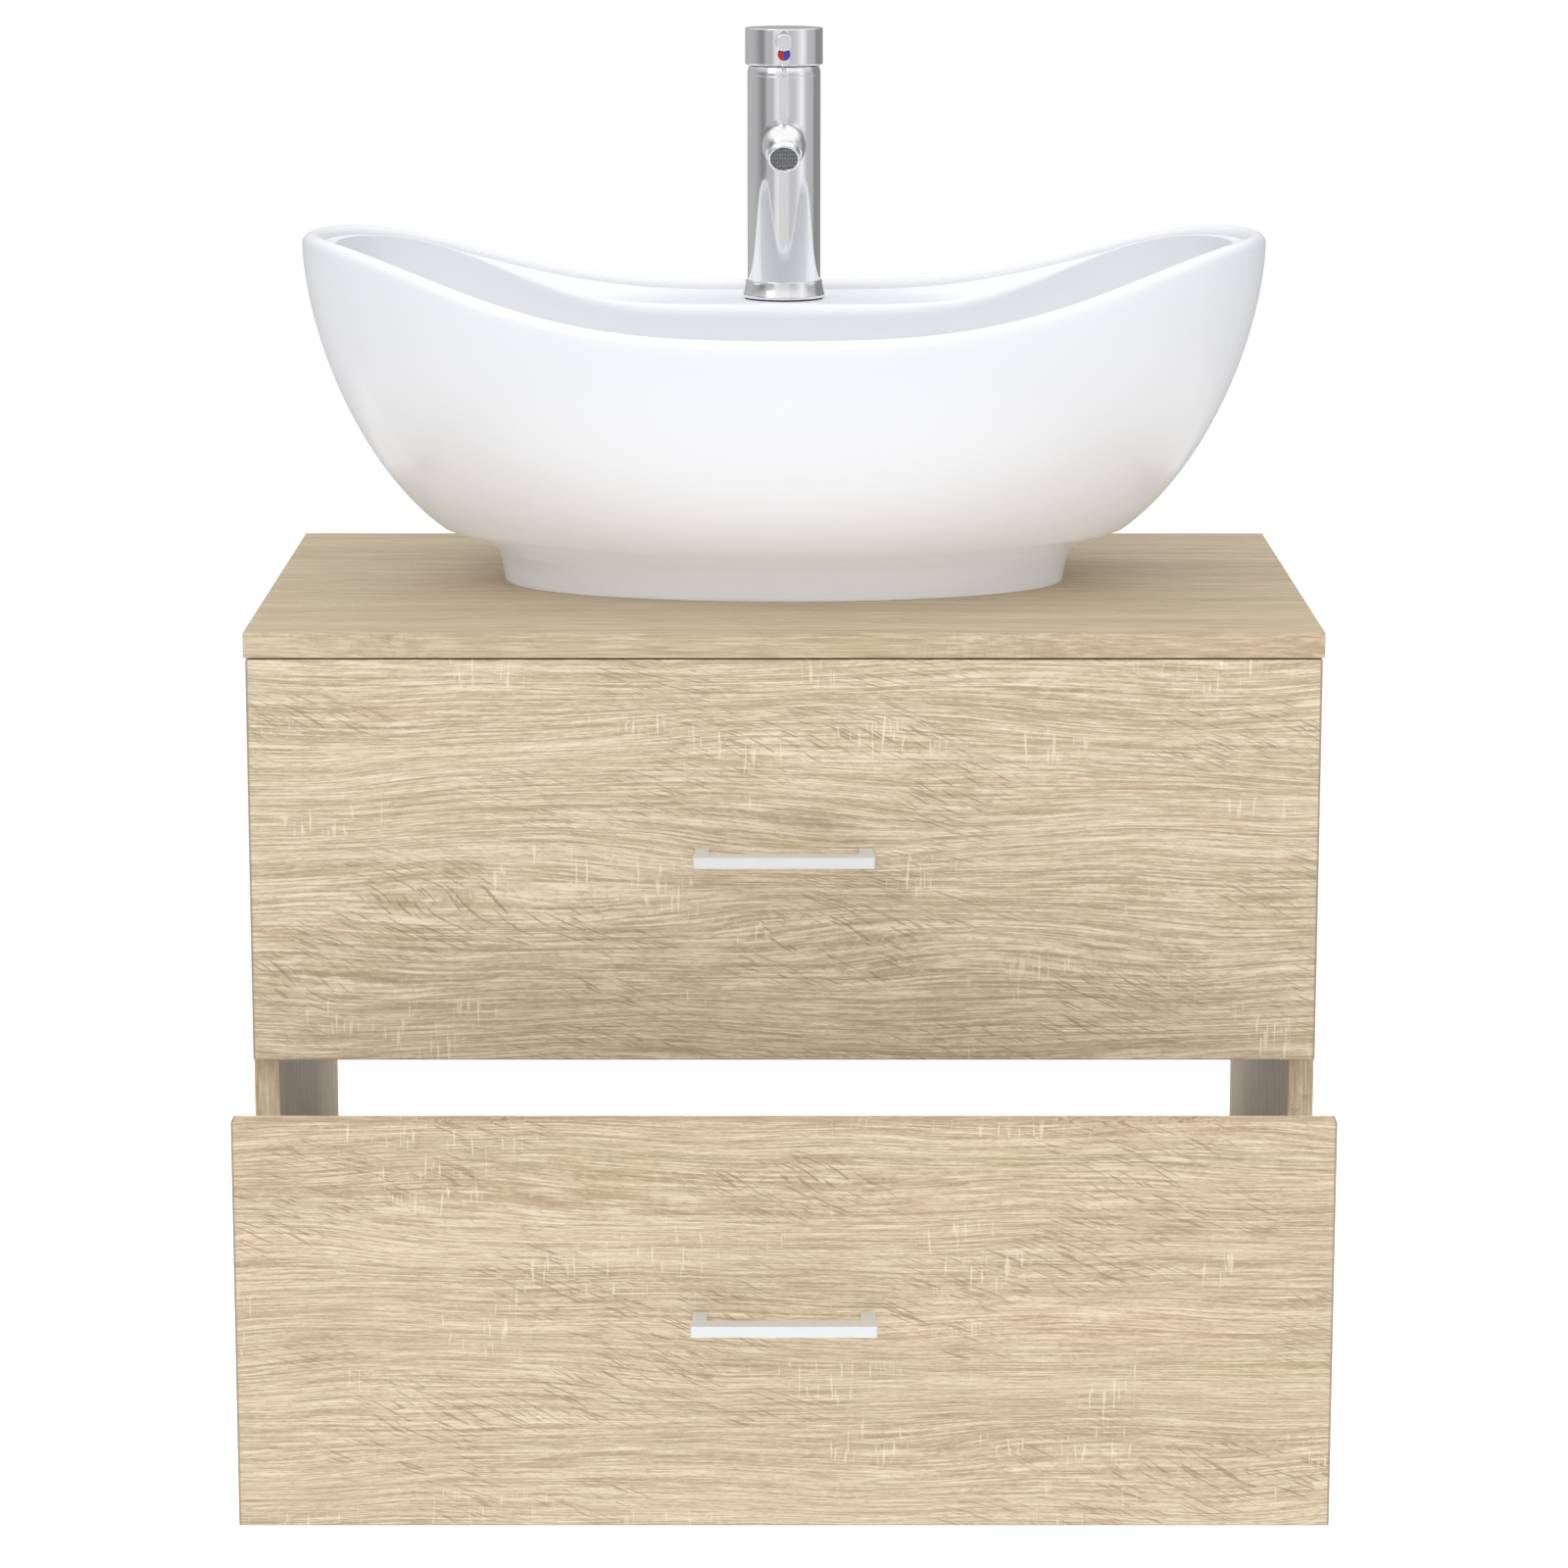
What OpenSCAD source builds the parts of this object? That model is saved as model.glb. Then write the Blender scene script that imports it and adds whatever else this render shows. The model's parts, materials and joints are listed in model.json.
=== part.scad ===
// Wall-hung washstand: a two-drawer cabinet with a countertop basin and a single-lever tap.
// The frame has +X to the right, the wall at y = 0, the fronts towards -Y, and +Z up.
// Its origin is midway between the two upper wall screws, on the wall.

/* [Cabinet] */
// Overall width of the cabinet
cab_w = 630; // [520:5:800]
// Depth from the wall to the face of the fronts
cab_d = 400; // [400:5:500]
// Height from the underside to the top surface
cab_h = 500; // [430:5:620]
// Thickness of the laminated boards
board = 15; // [12:0.5:19]
// Height of each back rail
rail_h = 80; // [60:1:100]
// Distance between the two wall screws of a rail
screw_span = 480; // [300:5:500]
// Radius of the wall screw holes
screw_r = 4; // [3:0.5:6]
// Radius of the wooden dowels
dowel_r = 4; // [3:0.5:5]
// Length of the wooden dowels
dowel_len = 22; // [16:1:22]

/* [Drawers] */
// Gap between the top panel and the upper front
gap_top = 1; // [1:0.5:5]
// Gap between the two fronts
gap_mid = 4; // [2:0.5:8]
// Distance that each front stays inside the side of the cabinet
front_inset = 1.25; // [0:0.25:4]
// Gap between a closed front and the front edge of the side panels
closed_gap = 2; // [1:0.5:4]
// Space left behind the closed drawer boxes for pipes
rear_space = 35; // [20:1:60]
// Distance that the lower drawer stands open
lower_out = 127; // [0:1:260]
// Height of the drawer sides and back
box_h = 120; // [90:1:125]
// Thickness of the drawer sides and back
box_t = 12; // [10:0.5:15]
// Thickness of the drawer bottom
floor_t = 3; // [3:0.5:6]
// Height of the drawer bottom above the lower edge of its sides
floor_up = 8; // [5:0.5:15]
// Depth of the grooves that hold the drawer bottom
groove = 6; // [4:0.5:7]
// Height of the upper drawer box above the lower edge of its front
upper_box_up = 12; // [8:1:30]
// Gap between the bottom panel and the lower drawer box
lower_box_gap = 7; // [5:1:20]
// Inner width of the recess that clears the waste pipe
notch_w = 170; // [120:1:220]
// Distance from the drain axis to the front of that recess
notch_ahead = 62; // [45:1:90]
// Thickness of the recess surround
surround_t = 3; // [2:0.5:5]

/* [Runners] */
// Width of the space for a runner beside the drawer box
runner_w = 13; // [12.5:0.5:16]
// Sheet thickness of the runner members
sheet = 1.2; // [1:0.1:1.5]
// Radius of the rollers
roller_r = 8.5; // [7:0.5:10]
// Width of the rollers
roller_w = 7; // [5:0.5:8]
// Radius of the roller axles
axle_r = 2.5; // [2:0.25:3]
// Radial play of a roller on its axle
axle_play = 0.05; // [0.02:0.01:0.1]
// Distance from the end of a runner to its roller's axis
roller_in = 12; // [11:0.5:16]
// Gap between a roller and the track it runs on
track_gap = 0.3; // [0.3:0.1:0.6]

/* [Handles] */
// Length of the handle bar
bar_len = 106; // [100:1:160]
// Distance between the handle screws
bar_pitch = 96; // [64:1:96]
// Height of the handle bar
bar_h = 6.5; // [6:0.5:12]
// Depth of the handle bar
bar_d = 12; // [8:0.5:16]
// Distance that the handle stands out from the front
bar_out = 29; // [24:0.5:40]
// Width of the handle feet
leg_w = 8; // [7:0.5:12]
// Height of the handle above the middle of its front
bar_up = 5; // [0:0.5:20]
// Radius of the handle screws
handle_screw_r = 2; // [1.5:0.25:2.5]

/* [Basin] */
// Length of the basin
basin_w = 589; // [500:1:700]
// Depth of the basin from front to back
basin_d = 385; // [360:1:400]
// Height of the rim in the middle
rim_low = 168.5; // [160:0.5:190]
// Height of the rim at the two ends
rim_high = 215.5; // [200:0.5:240]
// Thickness of the rim
rim_t = 12; // [9:0.5:16]
// Length of the foot
foot_w = 352; // [300:1:420]
// Distance from the basin centre to the front of the foot
foot_front = 92; // [80:1:110]
// Distance from the basin centre to the back of the foot
foot_back = 166; // [160:1:175]
// Height of the foot
foot_h = 20; // [12:0.5:30]
// Thickness of the ceramic walls and floor
ceramic = 12.5; // [10:0.5:16]
// Height of the tap ledge
ledge_h = 162; // [150:0.5:165]
// Distance from the basin centre to the front edge of the tap ledge
ledge_front = 85; // [75:1:95]
// Thickness of the tap ledge
ledge_t = 15; // [12:0.5:18]
// Height of the bowl floor at the drain
bowl_floor = 27; // [24:0.5:40]
// Distance from the basin centre to the drain axis, towards the front
drain_ahead = 25; // [10:1:35]
// Distance from the basin centre to the tap axis, towards the wall
tap_behind = 130; // [125:1:132]
// Radius of the drain hole in the ceramic
drain_r = 23; // [20:0.5:25]
// Radius of the tap hole in the ceramic
tap_hole_r = 17.5; // [16:0.5:18]

/* [Waste] */
// Outer radius of the waste flange
flange_r = 32; // [29:0.5:35]
// Thickness of the waste flange
flange_t = 2.5; // [2:0.5:4]
// Outer radius of the threaded waste body
waste_r = 21.5; // [19:0.5:22]
// Wall of the waste body
waste_wall = 2.5; // [2:0.5:3]
// Length of the waste body below the top surface
waste_drop = 55; // [45:1:70]
// Outer radius of the tailpiece
tail_r = 16; // [14:0.5:16]
// Distance from the top surface to the lower end of the tailpiece
tail_drop = 115; // [100:1:118]
// Radius of the hole for the waste in the top panel
waste_hole_r = 25; // [23:0.5:27]
// Radius of the plug
plug_r = 30; // [26:0.5:31]
// Distance that the plug moves down to close
plug_travel = 8; // [5:0.5:10]
// Radius of the plug stem
stem_r = 4; // [3:0.5:5]

/* [Tap] */
// Radius of the tap body
tap_r = 23.25; // [21:0.25:24.5]
// Height of the tap body above the ledge
tap_body_h = 141.8; // [130:0.1:180]
// Radius of the foot ring at its lower edge
tap_foot_r = 26.65; // [25:0.05:30]
// Height of the foot ring
tap_foot_h = 11.9; // [8:0.1:16]
// Radius of the spout
spout_r = 13.25; // [12:0.25:15]
// Distance from the tap axis to the centre of the spout's round end
spout_reach = 88; // [70:1:120]
// Distance from the top of the body down to the spout axis
spout_drop = 39.3; // [38:0.1:60]
// Angle of the water outlet below the horizontal
outlet_angle = 30; // [20:1:60]
// Radius of the aerator housing
aerator_r = 10; // [9:0.25:11]
// Radius of the cap of the lever handle
cap_r = 24.65; // [24.25:0.05:26]
// Height of the cap
cap_h = 23.3; // [23.3:0.1:28]
// Gap between the body and the cap
neck_h = 6.1; // [5:0.1:8]
// Radius of the lever pin
lever_r = 5.25; // [4:0.25:5.25]
// Distance from the tap axis to the tip of the lever pin
lever_reach = 79; // [60:1:100]
// Radius of the hot and cold mark
mark_r = 4; // [3:0.25:4]
// Radius of the cartridge
cartridge_r = 17.4; // [16:0.1:17.6]
// Radius of the spindle that the lever turns
spindle_r = 4; // [3:0.25:4.5]
// Radius of the supply hose threads
inlet_r = 5; // [4:0.25:5]
// Height of the supply hose threads
inlet_h = 12; // [8:1:20]
// Radius of the fixing stud
stud_r = 4; // [3:0.25:4]
// Radius of the hose hole in the top panel
hose_hole_r = 20; // [15:0.5:24]

/* [Hidden] */
$fn = 64;

// Heights and depths of the cabinet
top_z = rail_h / 2 + board;
base_z = top_z - cab_h;
inner_w = cab_w - 2 * board;
carcass_d = cab_d - board - closed_gap;
front_y = board - cab_d;
front_h = (cab_h - board - gap_top - gap_mid) / 2;
front_w = cab_w - 2 * front_inset;
upper_front_z = top_z - board - gap_top - front_h;
lower_front_z = base_z;
box_w = inner_w - 2 * runner_w;
box_len = -rear_space - front_y;
box_inner = box_w - 2 * box_t;
snug = 0.2;
cut = 1;
// Distance of the outer dowels from the end of a joint
dowel_in = 50;

// Basin and tap places
basin_y = -cab_d / 2;
drain_y = basin_y - drain_ahead;
tap_y = basin_y + tap_behind;
notch_y = drain_y - notch_ahead;
edge_r = rim_t / 2;

// Lower edges of the drawer boxes
upper_box_z = upper_front_z + upper_box_up;
lower_box_z = base_z + board + lower_box_gap;

// Tap heights above the ledge
gasket_t = 1;
cap_z = tap_body_h + neck_h;
cap_top = cap_z + cap_h;
pivot_z = cap_z - 10;
dome_r = 24;
dome_gap = 0.9;
spout_z = tap_body_h - spout_drop;
spigot_r = 10;
seat_z = spout_z + spigot_r + 0.5;
lever_z = cap_top - lever_r - 0.45;
mark_z = cap_z + 7.6;

// ---------- cabinet ----------

module along_x(len) rotate([0, 90, 0]) translate([0, 0, -len / 2]) children();

// One dowel across every joint between two boards
module dowels(r) {
    rail_z = [0, base_z + board + rail_h / 2];
    for (side = [-1, 1]) {
        for (y = [-carcass_d + dowel_in, -carcass_d / 2])
            translate([side * inner_w / 2, y, base_z + board / 2])
                along_x(dowel_len) cylinder(r = r, h = dowel_len);
        for (z = rail_z, dz = [-1, 1])
            translate([side * inner_w / 2, -board / 2, z + dz * rail_h / 4])
                along_x(dowel_len) cylinder(r = r, h = dowel_len);
        for (y = [-carcass_d + dowel_in, -dowel_in])
            translate([side * (cab_w - board) / 2, y, top_z - board - dowel_len / 2])
                cylinder(r = r, h = dowel_len);
    }
}

module top_panel() color("burlywood") difference() {
    translate([-cab_w / 2, -cab_d, top_z - board]) cube([cab_w, cab_d, board]);
    translate([0, drain_y, top_z - board - cut]) cylinder(r = waste_hole_r, h = board + 2 * cut);
    translate([0, tap_y, top_z - board - cut]) cylinder(r = hose_hole_r, h = board + 2 * cut);
    dowels(dowel_r);
}

module side_panel() difference() {
    translate([inner_w / 2, -carcass_d, base_z]) cube([board, carcass_d, cab_h - board]);
    dowels(dowel_r);
}

module bottom_panel() color("burlywood") difference() {
    translate([-inner_w / 2, -carcass_d, base_z]) cube([inner_w, carcass_d, board]);
    dowels(dowel_r);
}

// A back rail whose screw line is at height z
module back_rail(z) color("burlywood") difference() {
    translate([-inner_w / 2, -board, z - rail_h / 2]) cube([inner_w, board, rail_h]);
    for (side = [-1, 1])
        translate([side * screw_span / 2, cut, z])
            rotate([90, 0, 0]) cylinder(r = screw_r, h = board + 2 * cut);
    dowels(dowel_r);
}

// ---------- runners: x runs from the side panel towards the drawer ----------

// Height of the running face of a channel above the drawer side's lower edge
track_up = 1;
// Height of the front roller's axle above the rear roller's
axle_step = 1;
rail_gap = track_gap + 0.9;
track_h = axle_step + 2 * roller_r + track_gap + sheet + rail_gap;
web_x = runner_w - sheet;
web_gap = 1.2;
runner_in = 2;
runner_y0 = -carcass_d + runner_in;
front_axle_y = runner_y0 + roller_in;
rear_axle_y = -rear_space - roller_in;
front_roller_x = sheet + 0.8;
rear_roller_x = web_x - 1.8 - roller_w;
rail_edge = rear_roller_x - 0.5;
rail_lip = 10;
// Rivet heads on the roller axles
roller_gap = 0.4;
head_t = 0.7;
head_r = axle_r + 1.5;

function front_axle_z(box_z) = box_z + track_up + axle_step + roller_r;
function rear_axle_z(box_z) = box_z + track_up + track_gap + roller_r;
function rail_under(box_z) = box_z + track_up + axle_step + 2 * roller_r + track_gap;

module at_runner(side) {
    mirror([side > 0 ? 0 : 1, 0, 0]) translate([inner_w / 2, 0, 0]) mirror([1, 0, 0]) children();
}

// The fixed channel, with the axle of its front roller
module channel(box_z) color("gainsboro") {
    z = box_z + track_up;
    len = -rear_space - runner_y0;
    flange = web_x - web_gap;
    translate([0, runner_y0, z - sheet]) cube([sheet, len, track_h + 2 * sheet]);
    translate([0, runner_y0, z - sheet]) cube([flange, len, sheet]);
    translate([0, runner_y0, z + track_h]) cube([flange, len, sheet]);
    translate([sheet / 2, front_axle_y, front_axle_z(box_z)]) rotate([0, 90, 0]) {
        reach = front_roller_x + roller_w + roller_gap - sheet / 2;
        cylinder(r = axle_r, h = reach + head_t);
        translate([0, 0, reach]) cylinder(r = head_r, h = head_t);
    }
}

// The moving rail under a drawer side, with the axle of its rear roller
module rail(box_z) color("gainsboro") {
    track = rail_under(box_z);
    len = box_len - 2 * runner_in;
    translate([web_x, front_y + runner_in, box_z - sheet]) cube([sheet + rail_lip, len, sheet]);
    translate([web_x, front_y + runner_in, box_z - sheet])
        cube([sheet, len, track + 2 * sheet - box_z]);
    translate([rail_edge, front_y + runner_in, track])
        cube([web_x - rail_edge + sheet / 2, len, sheet]);
    translate([web_x + sheet / 2, rear_axle_y, rear_axle_z(box_z)]) rotate([0, -90, 0]) {
        reach = web_x + sheet / 2 - rear_roller_x + roller_gap;
        cylinder(r = axle_r, h = reach + head_t);
        translate([0, 0, reach]) cylinder(r = head_r, h = head_t);
    }
}

module roller(x, y, z) translate([x, y, z]) rotate([0, 90, 0]) difference() {
    cylinder(r = roller_r, h = roller_w);
    translate([0, 0, -cut]) cylinder(r = axle_r + axle_play, h = roller_w + 2 * cut);
}

module front_rollers(box_z) color("white") for (side = [-1, 1])
    at_runner(side) roller(front_roller_x, front_axle_y, front_axle_z(box_z));

module rear_rollers(box_z) color("white") for (side = [-1, 1])
    at_runner(side) roller(rear_roller_x, rear_axle_y, rear_axle_z(box_z));

// ---------- drawers ----------

handle_x = bar_pitch / 2;
screw_play = 0.25;
screw_grip = 8;
screw_head = 2;
bar_corner = 1.5;
bottom_play = 0.5;

// The two handle screw axes of a front, at height z
module at_handle_screws(z) for (side = [-1, 1])
    translate([side * handle_x, front_y, z]) rotate([90, 0, 0]) children();

function handle_z(front_z) = front_z + front_h / 2 + bar_up;

module front(front_z) color("burlywood") difference() {
    translate([-front_w / 2, -cab_d, front_z]) cube([front_w, board, front_h]);
    translate([0, cut, 0]) at_handle_screws(handle_z(front_z))
        cylinder(r = handle_screw_r + screw_play, h = board + 2 * cut);
}

module handle(front_z) color("lightgray") {
    z = handle_z(front_z);
    y_bar = -cab_d - bar_out;
    difference() {
        union() {
            hull() for (x = [-1, 1], y = [bar_corner, bar_d - bar_corner])
                translate([x * (bar_len / 2 - bar_corner), y_bar + y, z - bar_h / 2])
                    cylinder(r = bar_corner, h = bar_h, $fn = 24);
            for (side = [-1, 1])
                translate([side * handle_x - leg_w / 2, y_bar + bar_d - bar_corner, z - bar_h / 2])
                    cube([leg_w, bar_out - bar_d + bar_corner, bar_h]);
        }
        at_handle_screws(z) translate([0, 0, board - cut])
            cylinder(r = handle_screw_r, h = screw_grip + cut);
    }
}

module handle_screws(front_z) color("silver") at_handle_screws(handle_z(front_z)) {
    cylinder(r = handle_screw_r, h = board + screw_grip);
    translate([0, 0, -screw_head]) cylinder(r = 2 * handle_screw_r, h = screw_head);
}

module box_side(box_z) color("whitesmoke") difference() {
    translate([box_w / 2 - box_t, front_y, box_z]) cube([box_t, box_len, box_h]);
    translate([box_inner / 2 - cut, front_y - cut, box_z + floor_up - snug / 2])
        cube([groove + cut, box_len + 2 * cut, floor_t + snug]);
}

// A drawer back from x0 to x1, standing on the drawer bottom
module box_back(box_z, x0, x1) color("whitesmoke")
    translate([x0, front_y + box_len - box_t, box_z + floor_up + floor_t])
        cube([x1 - x0, box_t, box_h - floor_up - floor_t]);

module box_bottom(box_z, notched) color("whitesmoke") difference() {
    w = box_inner + 2 * (groove - bottom_play);
    translate([-w / 2, front_y, box_z + floor_up]) cube([w, box_len, floor_t]);
    if (notched)
        translate([-notch_w / 2, notch_y, box_z])
            cube([notch_w, cab_d, box_h]);
}

// The wall round the recess, standing on the drawer bottom
module siphon_surround() color("lightgray") difference() {
    z = upper_box_z + floor_up + floor_t;
    translate([-notch_w / 2 - surround_t, notch_y - surround_t, z])
        cube([notch_w + 2 * surround_t, front_y + box_len - notch_y + surround_t,
            box_h - floor_up - floor_t]);
    translate([-notch_w / 2, notch_y, z - cut]) cube([notch_w, cab_d, box_h]);
}

module lower_place() translate([0, -lower_out, 0]) children();

// ---------- basin ----------

steps = 72;
bulge_n = 1.68;
rim_power = 1.65;
bowl_w = basin_w / 2 - rim_t;
bowl_d = basin_d / 2 - rim_t;
floor_w = foot_w / 2 - ceramic;
floor_front = foot_front - ceramic;
floor_back = 40;
floor_slope = 0.04;
wall_top_share = 0.97;
ledge_corner = 8;
ledge_edge = 7;
ledge_flat = 0.75;
foot_taper = 4;
foot_edge = 1.5;
// Angle at which the bulge takes over from the hollow curve above the foot
bulge_from = 21;

function smooth(t) = let (c = min(max(t, 0), 1)) c * c * (3 - 2 * c);
function pick(th, front, back) = sin(th) < 0 ? front : back;

// A point at angle th on an oval with its own front and back depths, at height z
function oval(th, w, front, back, z) = [w * cos(th), pick(th, front, back) * sin(th), z];

// Radius share and height share along the bulging wall, at angle a from 0 to 90
function bulge(a) = [pow(sin(a), 2 / bulge_n), 1 - pow(cos(a), 2 / bulge_n)];
function bulge_height(r) = 1 - pow(1 - pow(min(max(r, 0), 1), bulge_n), 1 / bulge_n);

// The hollow curve from the foot into the bulge, at share t from 0 to 1
function foot_curve(t) = let (s = 1 - t, end = bulge(bulge_from))
    [3 * s * t * t * 0.17 + t * t * t * end[0],
     -0.02 * s * s * s + 0.09 * s * s * t + 0.15 * s * t * t + t * t * t * end[1]];

function rim_z(th) = rim_low + (rim_high - rim_low) * smooth(pow(abs(cos(th)), rim_power));
function shoulder_z(th) = rim_z(th) - edge_r;

// Share of the bowl's radius at which its wall tops out: less where the ledge is
function wall_share(th) = sin(th) < 0.001 ? wall_top_share
    : pow(pow(ledge_front / (bowl_d * sin(th)), -ledge_corner)
        + pow(wall_top_share, -ledge_corner), -1 / ledge_corner);
function floor_share(th) = let (back = pick(th, floor_front, floor_back))
    1 / sqrt(pow(bowl_w * cos(th) / floor_w, 2) + pow(bowl_d * sin(th) / back, 2));
function wall_z(th) = let (low = ledge_front / bowl_d)
    ledge_h + (shoulder_z(th) - ledge_h)
        * smooth((wall_share(th) - low) / (wall_top_share - low));
function floor_z(x, y) = bowl_floor + floor_slope * norm([x, y + drain_ahead]);

// Radius of the bowl in the direction th, and a point there at a share of it
function reach(th) = norm([bowl_w * cos(th), bowl_d * sin(th)]);
function inside(th, share, z) = [share * bowl_w * cos(th), share * bowl_d * sin(th), z];
function floor_at(th, share) = let (p = inside(th, share, 0)) floor_z(p[0], p[1]);
function edge_at(th) = ledge_edge * (1 - smooth((wall_share(th) - 0.6) / 0.35)) + 0.5;

function wall_point(th, a) = let (
    b = bulge(a),
    share = floor_share(th) + (wall_share(th) - floor_share(th)) * b[0],
    low = floor_at(th, share))
    inside(th, share, low + (wall_z(th) - edge_at(th) - low) * b[1]);

function edge_point(th, a) = let (e = edge_at(th))
    inside(th, wall_share(th) + e * (1 - cos(a)) / reach(th), wall_z(th) - e + e * sin(a));

function ledge_point(th, t) = let (start = wall_share(th) + edge_at(th) / reach(th))
    inside(th, start + (1 - start) * t,
        wall_z(th) + (shoulder_z(th) - wall_z(th)) * smooth((t - ledge_flat) / (1 - ledge_flat)));

function rim_point(th, a) = let (w = bowl_w + edge_r * (1 - cos(a)), d = w - bowl_w + bowl_d)
    oval(th, w, d, d, shoulder_z(th) + edge_r * sin(a));

// A point on the outside, from its radius share and height share
function outer_point(th, b) = oval(th,
    foot_w / 2 + (basin_w - foot_w) / 2 * b[0],
    foot_front + (basin_d / 2 - foot_front) * b[0],
    foot_back + (basin_d / 2 - foot_back) * b[0],
    foot_h + (shoulder_z(th) - foot_h) * b[1]);

function foot_point(th, inset, z) =
    oval(th, foot_w / 2 - inset, foot_front - inset, foot_back - inset, z);

// Height of the hollow underside at a share of the way from the centre to the foot's inner wall
function under_point(th, t) = let (
    p = foot_point(th, ceramic + foot_taper, 0) * t,
    share = norm([p[0] / bowl_w, p[1] / bowl_d]),
    a = atan2(p[1] / bowl_d, p[0] / bowl_w),
    near = share - ceramic / reach(a),
    low = floor_at(a, max(near, 0)),
    rise = bulge_height((near - floor_share(a)) / (wall_share(a) - floor_share(a))),
    top = near < wall_share(a) ? low + (wall_z(a) - low) * rise : wall_z(a))
    [p[0], p[1], top - ceramic - (ledge_t - ceramic) * rise];

// The skin of the basin as rings, from the middle of the bowl over the rim and back under
basin_rings = concat(
    [for (t = [1, 2, 3]) [for (k = [1:steps]) let (th = k * 360 / steps)
        inside(th, floor_share(th) * t / 3, floor_at(th, floor_share(th) * t / 3))]],
    [for (a = [12:13:90]) [for (k = [1:steps]) wall_point(k * 360 / steps, a)]],
    [for (a = [0:30:90]) [for (k = [1:steps]) edge_point(k * 360 / steps, a)]],
    [for (t = [ledge_flat / 2, ledge_flat]) [for (k = [1:steps])
        ledge_point(k * 360 / steps, t)]],
    [for (a = [0:30:180]) [for (k = [1:steps]) rim_point(k * 360 / steps, a)]],
    [for (a = [81:-10:bulge_from]) [for (k = [1:steps]) outer_point(k * 360 / steps, bulge(a))]],
    [for (t = [0.75:-0.25:0]) [for (k = [1:steps]) outer_point(k * 360 / steps, foot_curve(t))]],
    [[for (k = [1:steps]) foot_point(k * 360 / steps, foot_taper - foot_edge / 4, foot_edge)],
     [for (k = [1:steps]) foot_point(k * 360 / steps, foot_taper + foot_edge, 0)],
     [for (k = [1:steps]) foot_point(k * 360 / steps, foot_taper + ceramic, 0)]],
    [for (t = [1:-0.1:0.1]) [for (k = [1:steps]) under_point(k * 360 / steps, t)]]);

module skin(rings, first, last) {
    n = len(rings[0]);
    r = len(rings);
    quads = [for (i = [0:r - 2], k = [0:n - 1]) let (a = i * n + k, b = i * n + (k + 1) % n)
        each [[a, b, b + n], [a, b + n, a + n]]];
    caps = [for (k = [0:n - 1]) let (m = (k + 1) % n)
        each [[n * r, m, k], [n * r + 1, (r - 1) * n + k, (r - 1) * n + m]]];
    polyhedron(points = concat([for (ring = rings) each ring], [first, last]),
        faces = concat(quads, caps), convexity = 8);
}

module basin() color("white") translate([0, basin_y, top_z]) difference() {
    skin(basin_rings, [0, 0, floor_z(0, 0)], [0, 0, floor_z(0, 0) - ceramic]);
    translate([0, -drain_ahead, 0]) cylinder(r = drain_r, h = bowl_floor + 10);
    translate([0, -drain_ahead, seal_z]) cylinder(r = flange_r + 1, h = 10);
    translate([0, tap_behind, ledge_h - ledge_t - spot_h]) {
        cylinder(r = tap_hole_r, h = 3 * spot_h);
        cylinder(r = clamp_r + 2, h = spot_h);
    }
}

// ---------- waste ----------

seal_t = 1;
seal_z = bowl_floor - 2;
flange_z = seal_z + seal_t;
mouth_r = waste_r - waste_wall;
guide_h = 10;
lower_seal_t = 3;
nut_h = 10;
stem_play = 0.05;
plug_gap = 0.3;
spigot = tail_r - 1;
tail_in = 8;
socket_h = tail_in + 2;
guide_t = 2;
seat_r = waste_hole_r + 5;

module at_drain() translate([0, drain_y, top_z]) children();

module ring(r_out, r_in, h) difference() {
    cylinder(r = r_out, h = h);
    translate([0, 0, -cut]) cylinder(r = r_in, h = h + 2 * cut);
}

module waste_gasket_upper() color("dimgray") at_drain()
    translate([0, 0, seal_z]) ring(flange_r - 1, drain_r, seal_t);

module waste_body() color("silver") at_drain() {
    difference() {
        union() {
            translate([0, 0, flange_z]) cylinder(r = flange_r, h = flange_t);
            translate([0, 0, -waste_drop]) cylinder(r = waste_r, h = waste_drop + flange_z + 1);
        }
        translate([0, 0, socket_h - waste_drop])
            cylinder(r = mouth_r, h = waste_drop + flange_z + flange_t);
        translate([0, 0, -waste_drop - cut]) cylinder(r = spigot, h = socket_h + cut);
    }
    // The guide of the plug's stem, on three ribs
    difference() {
        union() {
            cylinder(r = stem_r + guide_t, h = guide_h);
            for (a = [0, 120, 240]) rotate(a) translate([0, -guide_t / 2, 0])
                cube([mouth_r + 0.5, guide_t, guide_h]);
        }
        translate([0, 0, -cut]) cylinder(r = stem_r + stem_play, h = guide_h + 2 * cut);
    }
}

module waste_gasket_lower() color("dimgray") at_drain()
    translate([0, 0, -board - lower_seal_t]) ring(seat_r, waste_r, lower_seal_t);

module waste_nut() color("silver") at_drain() translate([0, 0, -board - lower_seal_t - nut_h])
    difference() {
        cylinder(r = seat_r + 1, h = nut_h, $fn = 8);
        translate([0, 0, -cut]) cylinder(r = waste_r, h = nut_h + 2 * cut);
    }

module waste_tailpiece() color("silver") at_drain() difference() {
    union() {
        translate([0, 0, -tail_drop]) cylinder(r = tail_r, h = tail_drop - waste_drop);
        translate([0, 0, -waste_drop - 1]) cylinder(r = spigot, h = tail_in + 1);
    }
    translate([0, 0, -tail_drop - cut]) cylinder(r = tail_r - waste_wall, h = tail_drop);
}

module waste_plug() color("silver") at_drain() {
    z = flange_z + flange_t + plug_gap + plug_travel;
    translate([0, 0, z]) rotate_extrude() polygon(concat(
        [[0, 0], [plug_r, 0]],
        [for (a = [0:15:90]) [plug_r - 2 + 2 * cos(a) - a / 90 * 6, 1 + 2.5 * sin(a)]],
        [[0, 4.2]]));
    translate([0, 0, -4]) cylinder(r = stem_r, h = z + 5);
}

// ---------- tap ----------

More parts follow.
